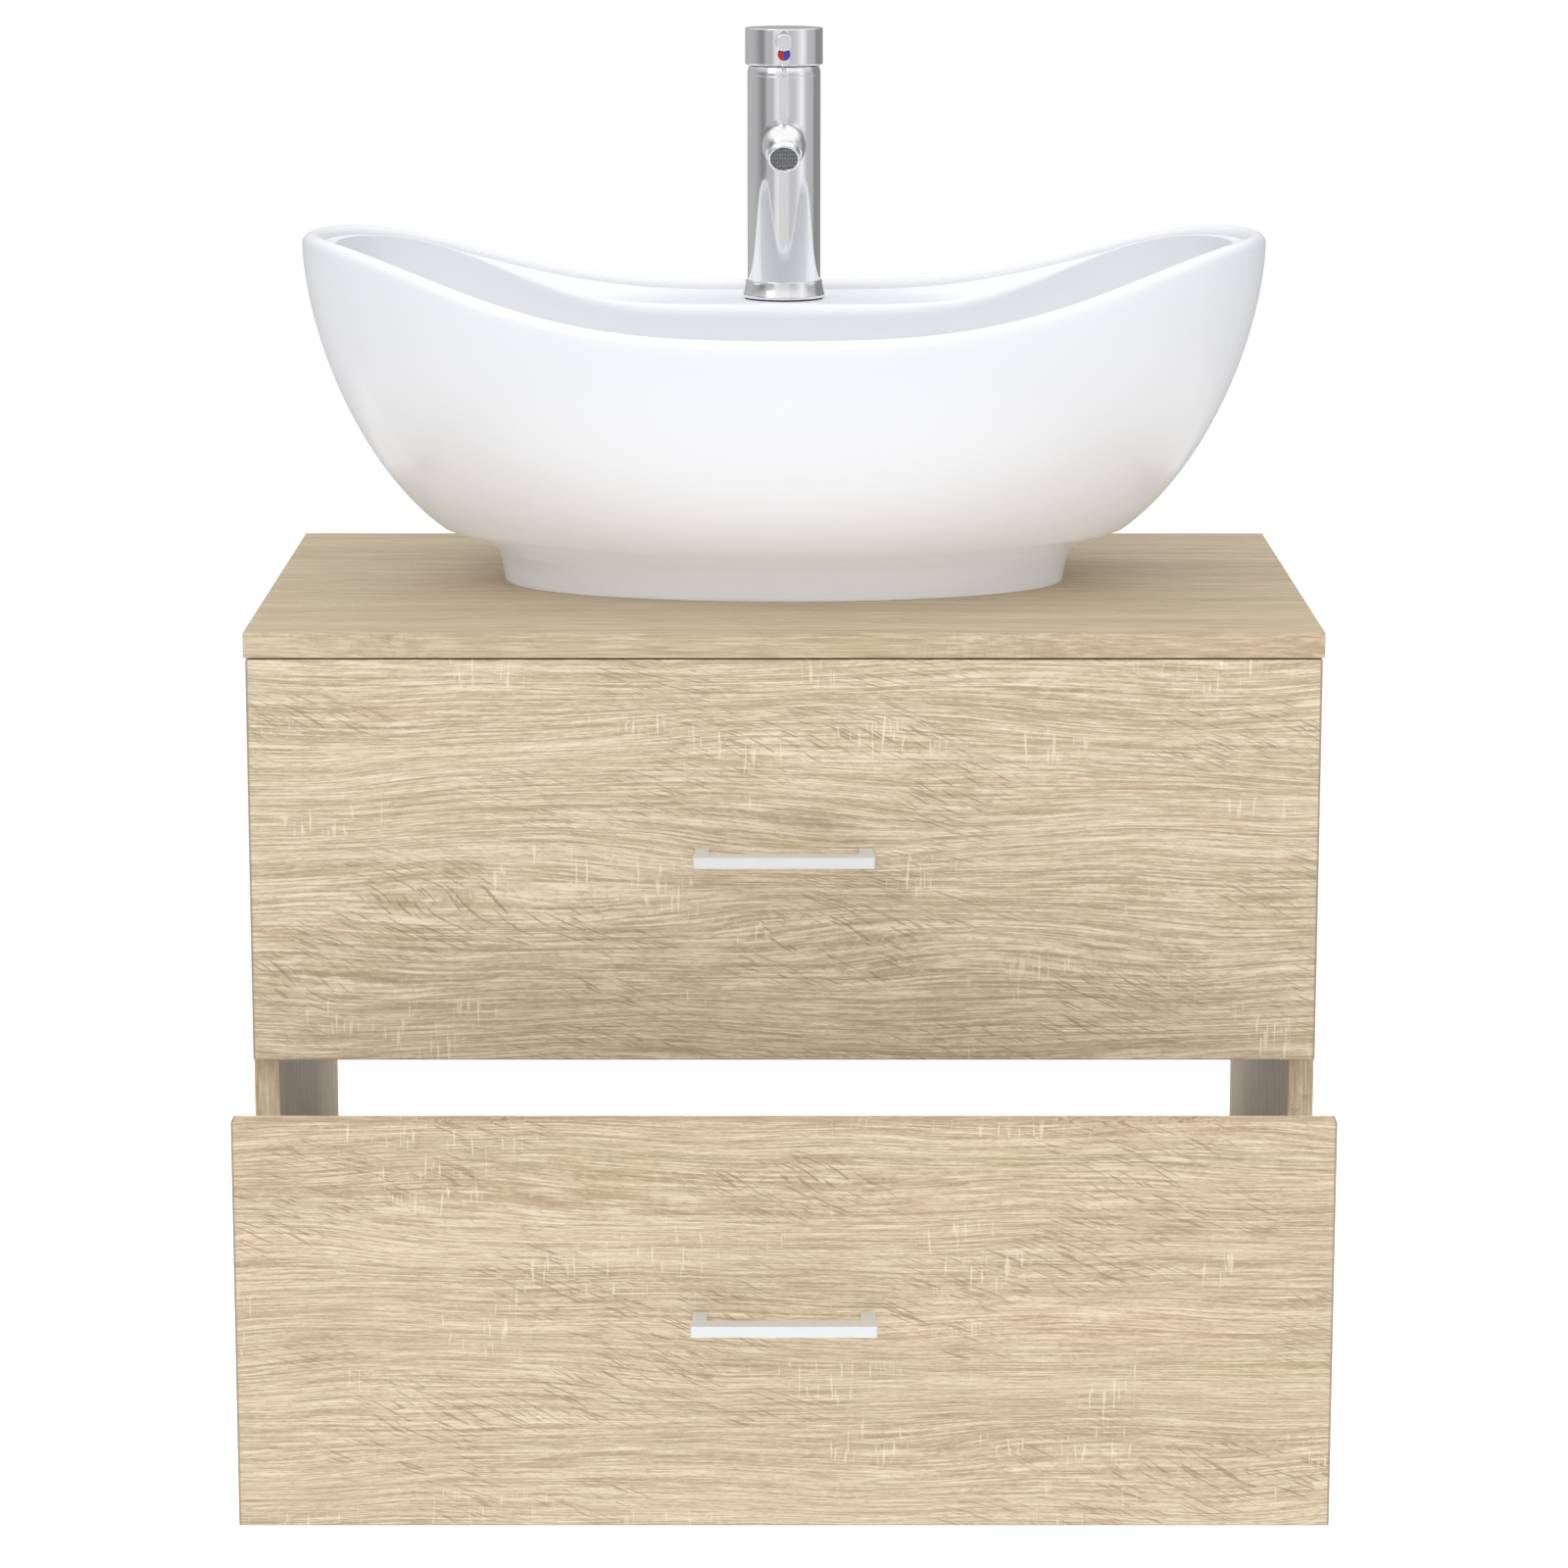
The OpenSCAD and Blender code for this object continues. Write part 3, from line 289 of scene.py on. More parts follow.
MATERIALS = {
    "oak_laminate": OAK_INNER,
    "beech": raw_wood("beech_turned", X),
    "white_board": moulded("white_melamine", (0.800, 0.800, 0.790), (0.755, 0.755, 0.745), 0.38,
                           0.9),
    "ceramic_glaze": glaze(),
    "rubber_seal": moulded("rubber_black", (0.030, 0.030, 0.031), (0.050, 0.050, 0.051), 0.62, 0.4),
    "waste_chrome": metal("chrome_waste", (0.78, 0.78, 0.79), (0.84, 0.84, 0.85), 0.05, 0.06),
    "tap_chrome": metal("chrome_tap", (0.83, 0.83, 0.84), (0.88, 0.88, 0.89), 0.03, 0.05,
                        bump=0.02),
    "screen_steel": metal("steel_screen", (0.44, 0.44, 0.45), (0.54, 0.54, 0.55), 0.30, 0.15),
    "cartridge_plastic": moulded("acetal_white", (0.74, 0.74, 0.71), (0.68, 0.68, 0.65), 0.42),
    "zinc_steel": metal("zinc_plate", (0.55, 0.56, 0.57), (0.66, 0.67, 0.68), 0.28, 0.20, bump=0.1),
    "runner_enamel": moulded("enamel_grey", (0.60, 0.60, 0.60), (0.54, 0.54, 0.55), 0.32, 0.8),
    "roller_nylon": moulded("nylon_white", (0.72, 0.72, 0.70), (0.65, 0.65, 0.63), 0.45, 0.5),
    "surround_plastic": moulded("plastic_grey", (0.46, 0.47, 0.48), (0.41, 0.42, 0.43), 0.40, 0.5),
    "handle_satin": metal("satin_handle", (0.74, 0.75, 0.76), (0.80, 0.81, 0.82), 0.36, 0.12, X,
                          metallic=0.35),
    "mark_red": moulded("mark_red_lacquer", (0.60, 0.02, 0.02), (0.50, 0.015, 0.015), 0.25, 0.5),
    "mark_blue": moulded("mark_blue_lacquer", (0.02, 0.07, 0.50), (0.015, 0.05, 0.42), 0.25, 0.5),
}
RAIL_NODES = ("back_rail_upper", "back_rail_lower")
for entry in frame["record"]["subparts"]:
    own = OAK_RAIL if entry["node"] in RAIL_NODES else MATERIALS[entry["material_slot"]]
    for material_slot in NODES[entry["node"]].material_slots:
        material_slot.material = own


# ---------- mesh helpers ----------

def settle(obj, body, material, replaced=(), angle=35.0):
    """Gives a new piece its finish and body. Corners over the angle stay crisp."""
    obj.data.materials.clear()
    obj.data.materials.append(material)
    for face in obj.data.polygons:
        face.use_smooth = True
    obj.data.set_sharp_from_angle(angle=math.radians(angle))
    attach(obj, body)
    if replaced:
        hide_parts(*replaced)
    return obj


def new_object(name, verts, faces):
    """An object from points in millimetres. Its faces are turned outwards."""
    mesh = bpy.data.meshes.new(name)
    mesh.from_pydata([tuple(c * MM for c in p) for p in verts], [], faces)
    work = bmesh.new()
    work.from_mesh(mesh)
    bmesh.ops.remove_doubles(work, verts=work.verts, dist=1e-6)
    bmesh.ops.recalc_face_normals(work, faces=work.faces)
    work.to_mesh(mesh)
    work.free()
    obj = bpy.data.objects.new(name, mesh)
    bpy.context.scene.collection.objects.link(obj)
    return obj


def rounded(path, segments=6):
    """A path of (x, y, radius) with its corners turned into arcs."""
    points = [Vector(p[:2]) for p in path]
    made = []
    for i, p in enumerate(points):
        radius = path[i][2] if len(path[i]) > 2 else 0
        if not radius:
            made.append(tuple(p))
            continue
        before, after = points[i - 1], points[(i + 1) % len(points)]
        d1, d2 = (p - before).normalized(), (after - p).normalized()
        turn = d1.angle_signed(d2)
        back = radius * math.tan(abs(turn) / 2)
        centre = p + (d2 - d1).normalized() * (radius / math.cos(turn / 2))
        start = p - d1 * back - centre
        for k in range(segments + 1):
            a = -turn * k / segments
            made.append((centre.x + start.x * math.cos(a) - start.y * math.sin(a),
                         centre.y + start.x * math.sin(a) + start.y * math.cos(a)))
    return made


def lathe(name, profile, turns=128, place=None):
    """A solid of revolution about Z from (radius, z) points in millimetres, then placed."""
    verts, rings = [], []
    for r, z in profile:
        if r < 1e-6:
            rings.append([len(verts)] * turns)
            verts.append((0, 0, z))
        else:
            rings.append(list(range(len(verts), len(verts) + turns)))
            verts += [(r * math.cos(2 * math.pi * k / turns),
                       r * math.sin(2 * math.pi * k / turns), z) for k in range(turns)]
    faces = []
    closed = profile[0][0] > 1e-6
    pairs = list(zip(rings, rings[1:])) + ([(rings[-1], rings[0])] if closed else [])
    for low, high in pairs:
        for k in range(turns):
            n = (k + 1) % turns
            face = [low[k], low[n], high[n], high[k]]
            face = [v for i, v in enumerate(face) if v not in face[:i]]
            if len(face) > 2:
                faces.append(face)
    if place is not None:
        verts = [tuple(place @ Vector(p)) for p in verts]
    return new_object(name, verts, faces)


def carve(obj, *cutters):
    """Cuts the cutters out of obj and removes them."""
    for cutter in cutters:
        modifier = obj.modifiers.new("cut", "BOOLEAN")
        modifier.operation, modifier.solver, modifier.object = "DIFFERENCE", "EXACT", cutter
    bake(obj)
    for cutter in cutters:
        bpy.data.objects.remove(cutter)
    return obj


def bake(obj):
    """Applies the object's modifiers."""
    graph = bpy.context.evaluated_depsgraph_get()
    obj.data = bpy.data.meshes.new_from_object(obj.evaluated_get(graph))
    obj.modifiers.clear()
    return obj


def bevel(obj, width, segments=3, angle=50.0):
    modifier = obj.modifiers.new("ease", "BEVEL")
    modifier.width, modifier.segments = width * MM, segments
    modifier.limit_method, modifier.angle_limit = "ANGLE", math.radians(angle)
    modifier.harden_normals = False
    return bake(obj)


def cylinder(name, radius, low, high, place=None, turns=96):
    return lathe(name, [(0, low), (radius, low), (radius, high), (0, high)], turns, place)


# ---------- boards ----------

def eased_board(name, node, body, material, ease):
    """The CAD board with the outer edges of its box eased, as edge banding leaves them."""
    low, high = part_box(node)
    near = 2e-6
    mesh = NODES[node].data.copy()
    work = bmesh.new()
    work.from_mesh(mesh)
    bmesh.ops.remove_doubles(work, verts=work.verts, dist=1e-6)
    bmesh.ops.dissolve_limit(work, angle_limit=math.radians(0.3), verts=work.verts,
                             edges=work.edges)

    def outside(v):
        return sum(abs(v.co[i] - low[i]) < near or abs(v.co[i] - high[i]) < near
                   for i in (X, Y, Z))

    edges = [e for e in work.edges if outside(e.verts[0]) >= 2 and outside(e.verts[1]) >= 2
             and len(e.link_faces) == 2 and e.calc_face_angle() > 1.0]
    bmesh.ops.bevel(work, geom=edges, offset=ease * MM, segments=3, profile=0.5,
                    affect="EDGES", clamp_overlap=True)
    bmesh.ops.triangulate(work, faces=[f for f in work.faces if len(f.verts) > 4])
    bmesh.ops.recalc_face_normals(work, faces=work.faces)
    work.to_mesh(mesh)
    work.free()
    if "custom_normal" in mesh.attributes:
        mesh.attributes.remove(mesh.attributes["custom_normal"])
    obj = bpy.data.objects.new(name, mesh)
    bpy.context.scene.collection.objects.link(obj)
    settle(obj, body, material, [node])
    modifier = obj.modifiers.new("flat", "WEIGHTED_NORMAL")
    modifier.keep_sharp = True
    return bake(obj)


for node, body, material, ease in (
        ("top_panel", CABINET, OAK_TOP, 0.6),
        ("side_panel_left", CABINET, OAK_SIDE, 0.6),
        ("side_panel_right", CABINET, OAK_SIDE, 0.6),
        ("bottom_panel", CABINET, OAK_INNER, 0.6),
        ("upper_front", UPPER, OAK_UPPER, 0.7),
        ("lower_front", LOWER, OAK_LOWER, 0.7)):
    eased_board(node + "_board", node, body, material, ease)
for side in ("left", "right"):
    for body, level in ((UPPER, "upper"), (LOWER, "lower")):
        node = f"{level}_side_{side}"
        eased_board(node + "_board", node, body, MATERIALS["white_board"], 0.5)


# ---------- basin ----------

BASIN_W, BASIN_D, RIM_LOW, RIM_HIGH, RIM_T = 589.0, 385.0, 168.5, 215.5, 12.0
FOOT_W, FOOT_FRONT, FOOT_BACK, FOOT_H = 352.0, 92.0, 166.0, 20.0
CERAMIC, LEDGE_H, LEDGE_FRONT, LEDGE_T = 12.5, 162.0, 85.0, 15.0
BOWL_FLOOR, DRAIN_AHEAD, TAP_BEHIND = 27.0, 25.0, 130.0
DRAIN_R, SEAT_R, SEAT_DEPTH, TAP_HOLE_R = 23, 33, 2, 17.5
EDGE_R, BULGE_N, RIM_POWER = RIM_T / 2, 1.68, 1.65
BOWL_W, BOWL_D = BASIN_W / 2 - RIM_T, BASIN_D / 2 - RIM_T
FLOOR_W, FLOOR_FRONT = FOOT_W / 2 - CERAMIC, FOOT_FRONT - CERAMIC
FLOOR_BACK, FLOOR_SLOPE = 40.0, 0.04
WALL_TOP, LEDGE_CORNER, LEDGE_EDGE, LEDGE_FLAT = 0.97, 8.0, 7.0, 0.75
FOOT_TAPER, FOOT_EDGE = 4.0, 1.5
BULGE_FROM = 21  # angle at which the bulge takes over from the curve above the foot
STEPS = 240
TH = np.arange(STEPS) * 360.0 / STEPS


def smooth(t):
    c = np.clip(t, 0, 1)
    return c * c * (3 - 2 * c)


def rim_z(th): return RIM_LOW + (RIM_HIGH - RIM_LOW) * smooth(np.abs(cosd(th)) ** RIM_POWER)
def shoulder_z(th): return rim_z(th) - EDGE_R


def bulge(a):
    return (np.clip(sind(a), 0, 1) ** (2 / BULGE_N),
            1 - np.clip(cosd(a), 0, 1) ** (2 / BULGE_N))


def wall_share(th):
    s = np.maximum(sind(th), 1e-4)
    joined = ((LEDGE_FRONT / (BOWL_D * s)) ** -LEDGE_CORNER
              + WALL_TOP ** -LEDGE_CORNER) ** (-1 / LEDGE_CORNER)
    return np.where(sind(th) < 0.001, WALL_TOP, joined)


def floor_share(th):
    back = np.where(sind(th) < 0, FLOOR_FRONT, FLOOR_BACK)
    return 1 / np.sqrt((BOWL_W * cosd(th) / FLOOR_W) ** 2 + (BOWL_D * sind(th) / back) ** 2)


def wall_z(th):
    low = LEDGE_FRONT / BOWL_D
    return LEDGE_H + (shoulder_z(th) - LEDGE_H) * smooth((wall_share(th) - low) / (WALL_TOP - low))


def reach(th): return np.hypot(BOWL_W * cosd(th), BOWL_D * sind(th))
def floor_z(x, y): return BOWL_FLOOR + FLOOR_SLOPE * np.hypot(x, y + DRAIN_AHEAD)
def floor_at(th, share): return floor_z(share * BOWL_W * cosd(th), share * BOWL_D * sind(th))
def edge_at(th): return LEDGE_EDGE * (1 - smooth((wall_share(th) - 0.6) / 0.35)) + 0.5


def inside(th, share, z):
    return np.stack([share * BOWL_W * cosd(th), share * BOWL_D * sind(th), z], 1)


def oval(th, w, front, back, z):
    return np.stack([w * cosd(th), np.where(sind(th) < 0, front, back) * sind(th),
                     z * np.ones_like(th)], 1)


def wall_ring(a):
    b0, b1 = bulge(a)
    share = floor_share(TH) + (wall_share(TH) - floor_share(TH)) * b0
    low = floor_at(TH, share)
    return inside(TH, share, low + (wall_z(TH) - edge_at(TH) - low) * b1)


def edge_ring(a):
    e = edge_at(TH)
    return inside(TH, wall_share(TH) + e * (1 - cosd(a)) / reach(TH), wall_z(TH) - e + e * sind(a))


def ledge_ring(t):
    start = wall_share(TH) + edge_at(TH) / reach(TH)
    rise = smooth((t - LEDGE_FLAT) / (1 - LEDGE_FLAT))
    return inside(TH, start + (1 - start) * t, wall_z(TH) + (shoulder_z(TH) - wall_z(TH)) * rise)


def rim_ring(a):
    out = EDGE_R * (1 - cosd(a))
    return oval(TH, BOWL_W + out, BOWL_D + out, BOWL_D + out, shoulder_z(TH) + EDGE_R * sind(a))


def outer_ring(b):
    return oval(TH, FOOT_W / 2 + (BASIN_W - FOOT_W) / 2 * b[0],
                FOOT_FRONT + (BASIN_D / 2 - FOOT_FRONT) * b[0],
                FOOT_BACK + (BASIN_D / 2 - FOOT_BACK) * b[0],
                FOOT_H + (shoulder_z(TH) - FOOT_H) * b[1])


def foot_curve(t):
    s, end = 1 - t, bulge(BULGE_FROM)
    return (3 * s * t * t * 0.17 + t ** 3 * end[0],
            -0.02 * s ** 3 + 0.09 * s * s * t + 0.15 * s * t * t + t ** 3 * end[1])


def foot_ring(inset, z):
    return oval(TH, FOOT_W / 2 - inset, FOOT_FRONT - inset, FOOT_BACK - inset, z)


def under_ring(t):
    p = foot_ring(CERAMIC + FOOT_TAPER, 0) * t
    share = np.hypot(p[:, 0] / BOWL_W, p[:, 1] / BOWL_D)
    a = np.degrees(np.arctan2(p[:, 1] / BOWL_D, p[:, 0] / BOWL_W))
    near = share - CERAMIC / reach(a)
    low = floor_at(a, np.maximum(near, 0))
    r = np.clip((near - floor_share(a)) / (wall_share(a) - floor_share(a)), 0, 1)
    rise = 1 - (1 - r ** BULGE_N) ** (1 / BULGE_N)
    top = np.where(near < wall_share(a), low + (wall_z(a) - low) * rise, wall_z(a))
    p[:, 2] = top - CERAMIC - (LEDGE_T - CERAMIC) * rise
    return p


def basin():
    """The ceramic skin as rings, from the middle of the bowl over the rim and back under it."""
    rings = [inside(TH, floor_share(TH) * t, floor_at(TH, floor_share(TH) * t))
             for t in np.linspace(0.08, 1, 12)]
    rings += [wall_ring(a) for a in np.linspace(3, 90, 36)]
    rings += [edge_ring(a) for a in np.linspace(10, 90, 9)]
    rings += [ledge_ring(t) for t in np.linspace(0.1, 0.96, 14)]
    rings += [rim_ring(a) for a in np.linspace(0, 180, 15)]
    rings += [outer_ring(bulge(a)) for a in np.linspace(87, BULGE_FROM, 30)]
    rings += [outer_ring(foot_curve(t)) for t in np.linspace(0.94, 0, 16)]
    rings += [foot_ring(FOOT_TAPER * (1 - z / FOOT_H), z) for z in (14, 8, 3.5)]
    rings += [foot_ring(FOOT_TAPER - FOOT_EDGE / 4, FOOT_EDGE),
              foot_ring(FOOT_TAPER + 0.25 * FOOT_EDGE, FOOT_EDGE / 3),
              foot_ring(FOOT_TAPER + FOOT_EDGE, 0), foot_ring(FOOT_TAPER + CERAMIC, 0)]
    rings += [under_ring(t) for t in np.linspace(1, 0.08, 20)]
    verts = np.concatenate(rings)
    count, n = len(rings), STEPS
    faces = [(i * n + k, i * n + (k + 1) % n, (i + 1) * n + (k + 1) % n, (i + 1) * n + k)
             for i in range(count - 1) for k in range(n)]
    top, bottom = len(verts), len(verts) + 1
    verts = np.vstack([verts, [0, 0, floor_z(0, 0)], [0, 0, floor_z(0, 0) - CERAMIC]])
    faces += [(top, (k + 1) % n, k) for k in range(n)]
    faces += [(bottom, (count - 1) * n + k, (count - 1) * n + (k + 1) % n) for k in range(n)]
    low, high = mm_box("basin")
    centre = Vector(((low.x + high.x) / 2, (low.y + high.y) / 2, low.z))
    obj = new_object("basin_ceramic", [tuple(Vector(p) + centre) for p in verts], faces)
    drain = Matrix.Translation(centre + Vector((0, -DRAIN_AHEAD, 0)))
    tap = Matrix.Translation(centre + Vector((0, TAP_BEHIND, 0)))
    carve(obj, cylinder("drain_cut", DRAIN_R, -1, 40, drain),
          cylinder("seat_cut", SEAT_R, BOWL_FLOOR - SEAT_DEPTH, 40, drain),
          cylinder("tap_cut", TAP_HOLE_R, 120, 190, tap))
    return settle(obj, CABINET, MATERIALS["ceramic_glaze"], ["basin"], 40)


BASIN = basin()


# ---------- tap ----------

body_low, body_high = mm_box("tap_body")
GASKET_T = 1.0
LEDGE = body_low.z - GASKET_T
TAP = Matrix.Translation(((body_low.x + body_high.x) / 2, (body_low.y + body_high.y) / 2, LEDGE))
TAP_R = (body_high.x - body_low.x) / 2
BODY_H = body_high.z - LEDGE
CHROME = MATERIALS["tap_chrome"]

# Radii, heights above the ledge and distances along the spout, outlet and lever
FOOT_RING_R, FOOT_RING_TOP, FOOT_RING_STEP = 26.65, 11.9, 1.05
SPOUT_Z, SPOUT_REACH, SPOUT_R, BALL_R = 102.5, 88.0, 13.25, 13.6
OUTLET_ANGLE, AERATOR_R, AERATOR_IN, AERATOR_OUT = 30, 10.0, 3.5, 14.45
SCREEN_R, WIRE_R, WIRE_PITCH, WIRE_Z = 8.35, 0.17, 0.98, 12.75
SEAT_Z, BORE_R, THREAD_Z, THREAD_R = 113, 17.5, 129.8, 20
INLET_X, INLET_Y, INLET_R, INLET_TOP = 11, -4, 5, 13
STUD_Y, STUD_R, STUD_TOP = 11.5, 4, 14
PIVOT_Z, CAP_Z, CAP_TOP, CAP_R, DISH_R = 137.9, 147.9, 171.2, 24.65, 24.9
LEVER_Z, LEVER_R, LEVER_IN, LEVER_REACH = 165.5, 5.25, 12, 79
MARK_Z, MARK_R, MARK_IN, GRUB_R = 155.5, 4.0, 2.0, 2.5
BOSS_R, BOSS_Z, SPINDLE_R, SPINDLE_TOP = 7.5, 153.9, 4, 160.25


def ahead(z):
    """Across the tap at height z, with +Z turned to point at the user."""
    return TAP @ Matrix.Translation((0, 0, z)) @ Matrix.Rotation(math.radians(90), 4, "X")


def chrome(obj, body, replaced, angle=35):
    return settle(obj, body, CHROME, replaced, angle)


def arc(radius, degrees, centre=0.0):
    """Points of a circle about (0, centre) at the given angles."""
    return [(radius * math.cos(math.radians(a)), centre + radius * math.sin(math.radians(a)))
            for a in degrees]


def tap_column():
    body = lathe("tap_column", rounded([
        (0, GASKET_T), (TAP_R, GASKET_T), (TAP_R, 12), (TAP_R, 60), (TAP_R, 110),
        (TAP_R, BODY_H, 0.7), (THREAD_R, BODY_H), (THREAD_R, THREAD_Z), (BORE_R, THREAD_Z),
        (BORE_R, SEAT_Z), (0, SEAT_Z)]), 160, TAP)
    inlets = [cylinder("inlet", INLET_R, 0, INLET_TOP,
                       TAP @ Matrix.Translation((x, INLET_Y, 0)), 48) for x in (-INLET_X, INLET_X)]
    carve(body, *inlets, cylinder("stud_hole", STUD_R, 0, STUD_TOP,
                                  TAP @ Matrix.Translation((0, STUD_Y, 0)), 48))
    chrome(body, CABINET, ["tap_body"])


def tap_foot():
    shoulder = TAP_R + FOOT_RING_STEP
    ring = [(TAP_R, FOOT_RING_TOP), (TAP_R, GASKET_T), (FOOT_RING_R - 0.8, GASKET_T),
            (FOOT_RING_R - 0.25, GASKET_T + 0.25), (FOOT_RING_R, GASKET_T + 0.9)]
    ring += [(FOOT_RING_R + (shoulder - FOOT_RING_R) * (1 - (1 - t) ** 1.4),
              2.6 + (FOOT_RING_TOP - 3.0) * t) for t in np.linspace(0, 1, 16)]
    ring += [(shoulder - 0.1, FOOT_RING_TOP - 0.12), (shoulder - 0.4, FOOT_RING_TOP)]
    chrome(lathe("tap_base_ring", ring, 160, TAP), CABINET, ["tap_foot_ring"], 50)


def tap_spout():
    end = arc(BALL_R, range(0, 90, 4), SPOUT_REACH) + [(0, SPOUT_REACH + BALL_R)]
    tube = [(0, 12), (SPOUT_R, 12), (SPOUT_R, 40), (SPOUT_R, 64), (SPOUT_R, 80),
            (SPOUT_R + 0.02, 82), (SPOUT_R + 0.12, 84.5), (BALL_R - 0.08, 86.5)]
    spout = lathe("tap_spout_tube", tube + end, 128, ahead(SPOUT_Z))
    outlet = (ahead(SPOUT_Z) @ Matrix.Translation((0, 0, SPOUT_REACH))
              @ Matrix.Rotation(math.radians(OUTLET_ANGLE), 4, "X"))
    carve(spout, cylinder("body_cut", TAP_R + 0.02, 60, 140, TAP, 160),
          cylinder("aerator_cut", AERATOR_R + 0.03, AERATOR_IN, 30, outlet))
    chrome(spout, CABINET, ["tap_spout"], 40)

    wall = SCREEN_R + 0.05
    housing = lathe("aerator_ring", rounded([
        (AERATOR_R, AERATOR_IN), (AERATOR_R, AERATOR_OUT, 0.7), (wall, AERATOR_OUT, 0.7),
        (wall, AERATOR_IN)], 5), 128, outlet)
    chrome(housing, CABINET, ["aerator_housing"])
    aerator_screen(outlet)


def aerator_screen(outlet):
    """A dark dished plate behind two crossed layers of fine wires."""
    plate = lathe("aerator_plate", [(0, 11.9), (SCREEN_R, 11.9), (SCREEN_R, 12.5), (0, 12.35)],
                  96, outlet)
    settle(plate, CABINET, MATERIALS["rubber_seal"])
    verts, faces = [], []
    for layer in (0, 1):
        z = WIRE_Z + 0.3 * layer
        for i in range(-8, 9):
            at = i * WIRE_PITCH
            half = math.sqrt(max(SCREEN_R ** 2 - at * at, 0.01))
            for k in range(6):
                a = math.radians(60 * k)
                off, up = at + WIRE_R * math.cos(a), z + WIRE_R * math.sin(a)
                for run in (-half, half):
                    verts.append((run, off, up) if layer else (off, run, up))
            first = len(verts) - 12
            faces += [(first + 2 * k, first + 2 * k + 1, first + (2 * k + 3) % 12,
                       first + (2 * k + 2) % 12) for k in range(6)]
            faces += [tuple(first + 2 * k for k in range(6)),
                      tuple(first + 2 * k + 1 for k in reversed(range(6)))]
    wires = new_object("aerator_wires", [tuple(outlet @ Vector(p)) for p in verts], faces)
    settle(wires, CABINET, MATERIALS["screen_steel"], ["aerator_screen"])


def tap_lever():
    first = math.degrees(math.asin(10 / DISH_R))
    dish = arc(DISH_R, np.linspace(first, 72.47, 14), PIVOT_Z)
    outside = rounded([(22.8, CAP_Z), (CAP_R, CAP_Z, 1.3), (CAP_R, 159), (CAP_R, CAP_TOP, 0.8),
                       (12, CAP_TOP), (0, CAP_TOP)])[1:]
    boss = rounded([(0, SPINDLE_TOP), (SPINDLE_R, SPINDLE_TOP), (SPINDLE_R, BOSS_Z),
                    (BOSS_R, BOSS_Z)])
    cap = lathe("lever_cap", boss + dish[::-1] + outside, 160, TAP)
    carve(cap, cylinder("lever_cut", LEVER_R + 0.02, LEVER_IN, 30, ahead(LEVER_Z)),
          cylinder("grub_cut", GRUB_R, SPINDLE_R - 0.1, 23, ahead(MARK_Z), 48),
          cylinder("mark_cut", MARK_R + 0.02, CAP_R - MARK_IN, 30, ahead(MARK_Z)))
    chrome(cap, LEVER, ["handle_cap"])

    pin = lathe("lever_rod", rounded([
        (0, LEVER_IN), (LEVER_R, LEVER_IN), (LEVER_R, 30), (LEVER_R, 60),
        (LEVER_R, LEVER_REACH, 0.7), (0, LEVER_REACH)]), 96, ahead(LEVER_Z))
    chrome(pin, LEVER, ["lever_pin"])


tap_column()
tap_foot()
tap_spout()
tap_lever()


# ---------- waste ----------

PLUG_R, PLUG_STEM_R, PLUG_RISE = 30, 4, 4.2


def waste_plug():
    """A low domed disc on a short stem."""
    low, high = mm_box("waste_plug")
    place = Matrix.Translation(((low.x + high.x) / 2, (low.y + high.y) / 2, low.z))
    total = high.z - low.z
    under = total - PLUG_RISE
    dome = [(PLUG_R - 2 * (1 - math.cos(math.radians(a))) - a / 90 * 6 * math.sin(math.radians(a)),
             under + 1 + 2.5 * math.sin(math.radians(a))) for a in range(0, 91, 9)]
    stem = [(0, 0), (PLUG_STEM_R - 0.5, 0), (PLUG_STEM_R, 0.5), (PLUG_STEM_R, under)]
    rim = [(PLUG_R - 0.6, under), (PLUG_R, under + 0.5)]
    crown = [(15, total - 0.25), (6, total - 0.05), (0, total)]
    plug = lathe("plug_disc", stem + rim + dome + crown, 128, place)
    settle(plug, STOPPER, MATERIALS["waste_chrome"], ["waste_plug"], 50)


waste_plug()


# ---------- handles ----------

BAR_DEPTH, FEET_OUTER, FEET_INNER = 12.0, 52, 44


def handle(name, node, body):
    """A flat bar on two feet, in one outline, with all its edges eased."""
    low, high = mm_box(node)
    half, front, back = (high.x - low.x) / 2, low.y, high.y
    bar_back = front + BAR_DEPTH
    outline = rounded([
        (-half, front, 1.5), (half, front, 1.5), (half, bar_back, 0.8),
        (FEET_OUTER, bar_back, 0.15), (FEET_OUTER, back), (FEET_INNER, back),
        (FEET_INNER, bar_back, 1.2), (-FEET_INNER, bar_back, 1.2), (-FEET_INNER, back),
        (-FEET_OUTER, back), (-FEET_OUTER, bar_back, 0.15), (-half, bar_back, 0.8)], 6)
    n = len(outline)
    verts = [(x, y, z) for z in (low.z, high.z) for x, y in outline]
    faces = [tuple(reversed(range(n))), tuple(range(n, 2 * n))]
    faces += [(k, (k + 1) % n, n + (k + 1) % n, n + k) for k in range(n)]
    obj = bevel(new_object(name, verts, faces), 0.35)
    settle(obj, body, MATERIALS["handle_satin"], [node])
    obj.modifiers.new("flat", "WEIGHTED_NORMAL").keep_sharp = True
    return bake(obj)


handle("upper_handle_bar", "upper_handle", UPPER)
handle("lower_handle_bar", "lower_handle", LOWER)


# ---------- surroundings ----------

GROUND_Z, GROUND_R, GROUND_AHEAD = -800, 2600, 200
GROUND_GLOW = 0.34
SKY = 1.10
BACKDROP = 1.05


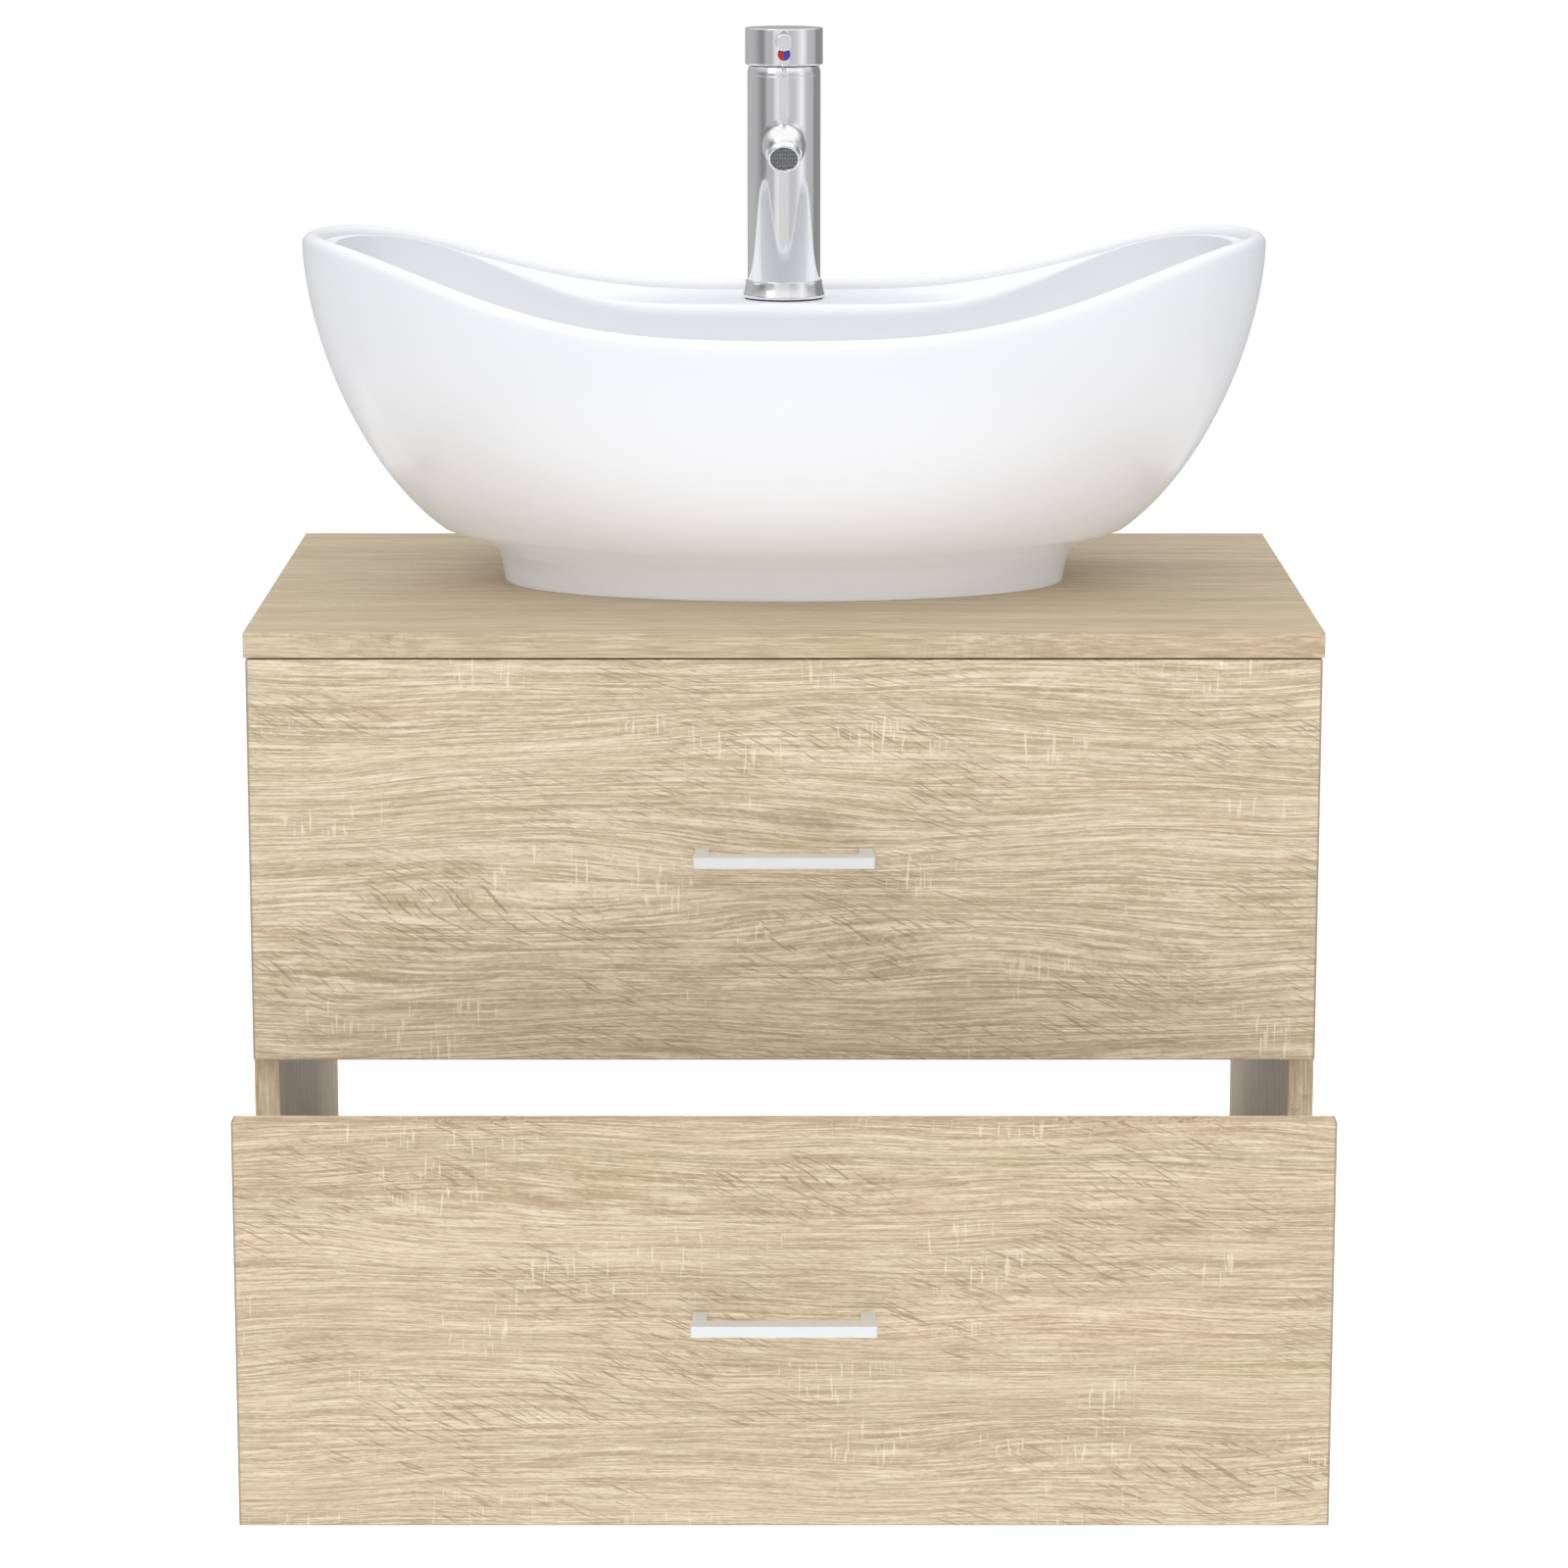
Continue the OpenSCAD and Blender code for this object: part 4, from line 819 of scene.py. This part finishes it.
def floor():
    s = Shader("pale_floor", Roughness=0.6, Emission_Strength=GROUND_GLOW)
    x, y, z = s.place()
    cloud = s.noise(s.scaled(x, y, z, 900, 900, 900), detail=2.0)
    s.bsdf.inputs["Emission Color"].default_value = (1, 1, 1, 1)
    s.finish(s.mix(cloud, (0.92, 0.92, 0.92), (0.90, 0.90, 0.90)))
    edge = [(GROUND_R * cosd(a), GROUND_R * sind(a) - GROUND_AHEAD, GROUND_Z)
            for a in range(0, 360, 5)]
    obj = new_object("floor", edge, [tuple(range(len(edge)))])
    obj.data.materials.append(s.material)


floor()


def world():
    """A white studio. It is bright overhead, with softer and darker strips round the horizon for
    the chrome to mirror, and plain white behind the object.
    """
    made = bpy.data.worlds.new("studio")
    made.use_nodes = True
    tree = made.node_tree

    def node(kind, *inputs, **settings):
        new = tree.nodes.new("ShaderNode" + kind)
        for key, value in settings.items():
            setattr(new, key, value)
        for index, value in enumerate(inputs):
            if isinstance(value, bpy.types.NodeSocket):
                tree.links.new(value, new.inputs[index])
            elif value is not None:
                new.inputs[index].default_value = value
        return new

    split = node("SeparateXYZ", node("TexCoord").outputs["Generated"])
    away = node("Math", split.outputs[1], -1.0, operation="MULTIPLY")
    turn = node("Math", split.outputs[0], away.outputs[0], operation="ARCTAN2")
    share = node("MapRange", turn.outputs[0], -math.pi, math.pi)
    strips = node("ValToRGB", share.outputs[0])
    # Each stop is an angle in degrees from straight ahead of the fronts, and a brightness
    stops = [(-180, 0.42), (-125, 0.52), (-95, 0.46), (-72, 0.27), (-62, 0.31), (-54, 0.52),
             (-36, 0.52), (-27, 0.80), (-20, 0.88), (-12, 0.75), (12, 0.75), (20, 0.60),
             (36, 0.64), (48, 0.82), (56, 1.00), (64, 0.85), (76, 0.55), (100, 0.52),
             (112, 0.28), (150, 0.30), (180, 0.42)]
    elements = strips.color_ramp.elements
    elements[1].position = 1.0
    for angle, value in stops[1:-1]:
        elements.new((angle + 180) / 360)
    for element, (angle, value) in zip(elements, stops):
        element.color = (value, value, value * 1.01, 1)
    up = node("MapRange", split.outputs[2], 0.30, 0.65)
    high = node("Mix", up.outputs[0], data_type="RGBA")
    tree.links.new(strips.outputs[0], high.inputs[6])
    high.inputs[7].default_value = (SKY, SKY, SKY, 1)
    seen = node("Mix", node("LightPath").outputs["Is Camera Ray"], data_type="RGBA")
    tree.links.new(high.outputs[2], seen.inputs[6])
    seen.inputs[7].default_value = (BACKDROP, BACKDROP, BACKDROP, 1)
    tree.links.new(seen.outputs[2], tree.nodes["Background"].inputs[0])
    bpy.context.scene.world = made


world()


def area(name, at, target, size, power, mirrored=True, only=None):
    """An area light. only names the single piece that it lights and that shades it."""
    data = bpy.data.lights.new(name, "AREA")
    data.shape, data.size, data.size_y = "RECTANGLE", *size
    data.energy = power
    obj = bpy.data.objects.new(name, data)
    obj.location = at
    obj.visible_glossy = mirrored
    obj.rotation_euler = (Vector(target) - Vector(at)).to_track_quat("-Z", "Y").to_euler()
    bpy.context.scene.collection.objects.link(obj)
    if only:
        lit = bpy.data.collections.new(name + "_lit")
        lit.objects.link(only)
        obj.light_linking.receiver_collection = lit
        obj.light_linking.blocker_collection = lit


area("key", (-2.2, -2.6, 2.6), (0, -0.2, 0.0), (1.6, 1.6), 17)
area("front_fill", (0.3, -4.2, 0.6), (0, -0.2, 0.0), (2.8, 1.8), 17, mirrored=False)
area("basin_fill", (0.0, -1.3, -1.1), (0, -0.25, 0.1), (2.6, 0.8), 13, mirrored=False, only=BASIN)
area("bowl_fill", (0.0, -0.6, 3.0), (0, -0.15, 0.2), (1.6, 1.6), 26, mirrored=False, only=BASIN)

LENS, CAMERA_TILT = 116.69, 11.138
camera = bpy.data.objects.new("camera", bpy.data.cameras.new("camera"))
camera.data.sensor_width, camera.data.lens = 36.0, LENS
camera.data.clip_end = 200
camera.location = (0.0, -3.3166, 0.5396)
camera.rotation_euler = (math.radians(90 - CAMERA_TILT), 0, 0)
bpy.context.scene.collection.objects.link(camera)
bpy.context.scene.camera = camera
bpy.context.scene.view_settings.view_transform = "Standard"
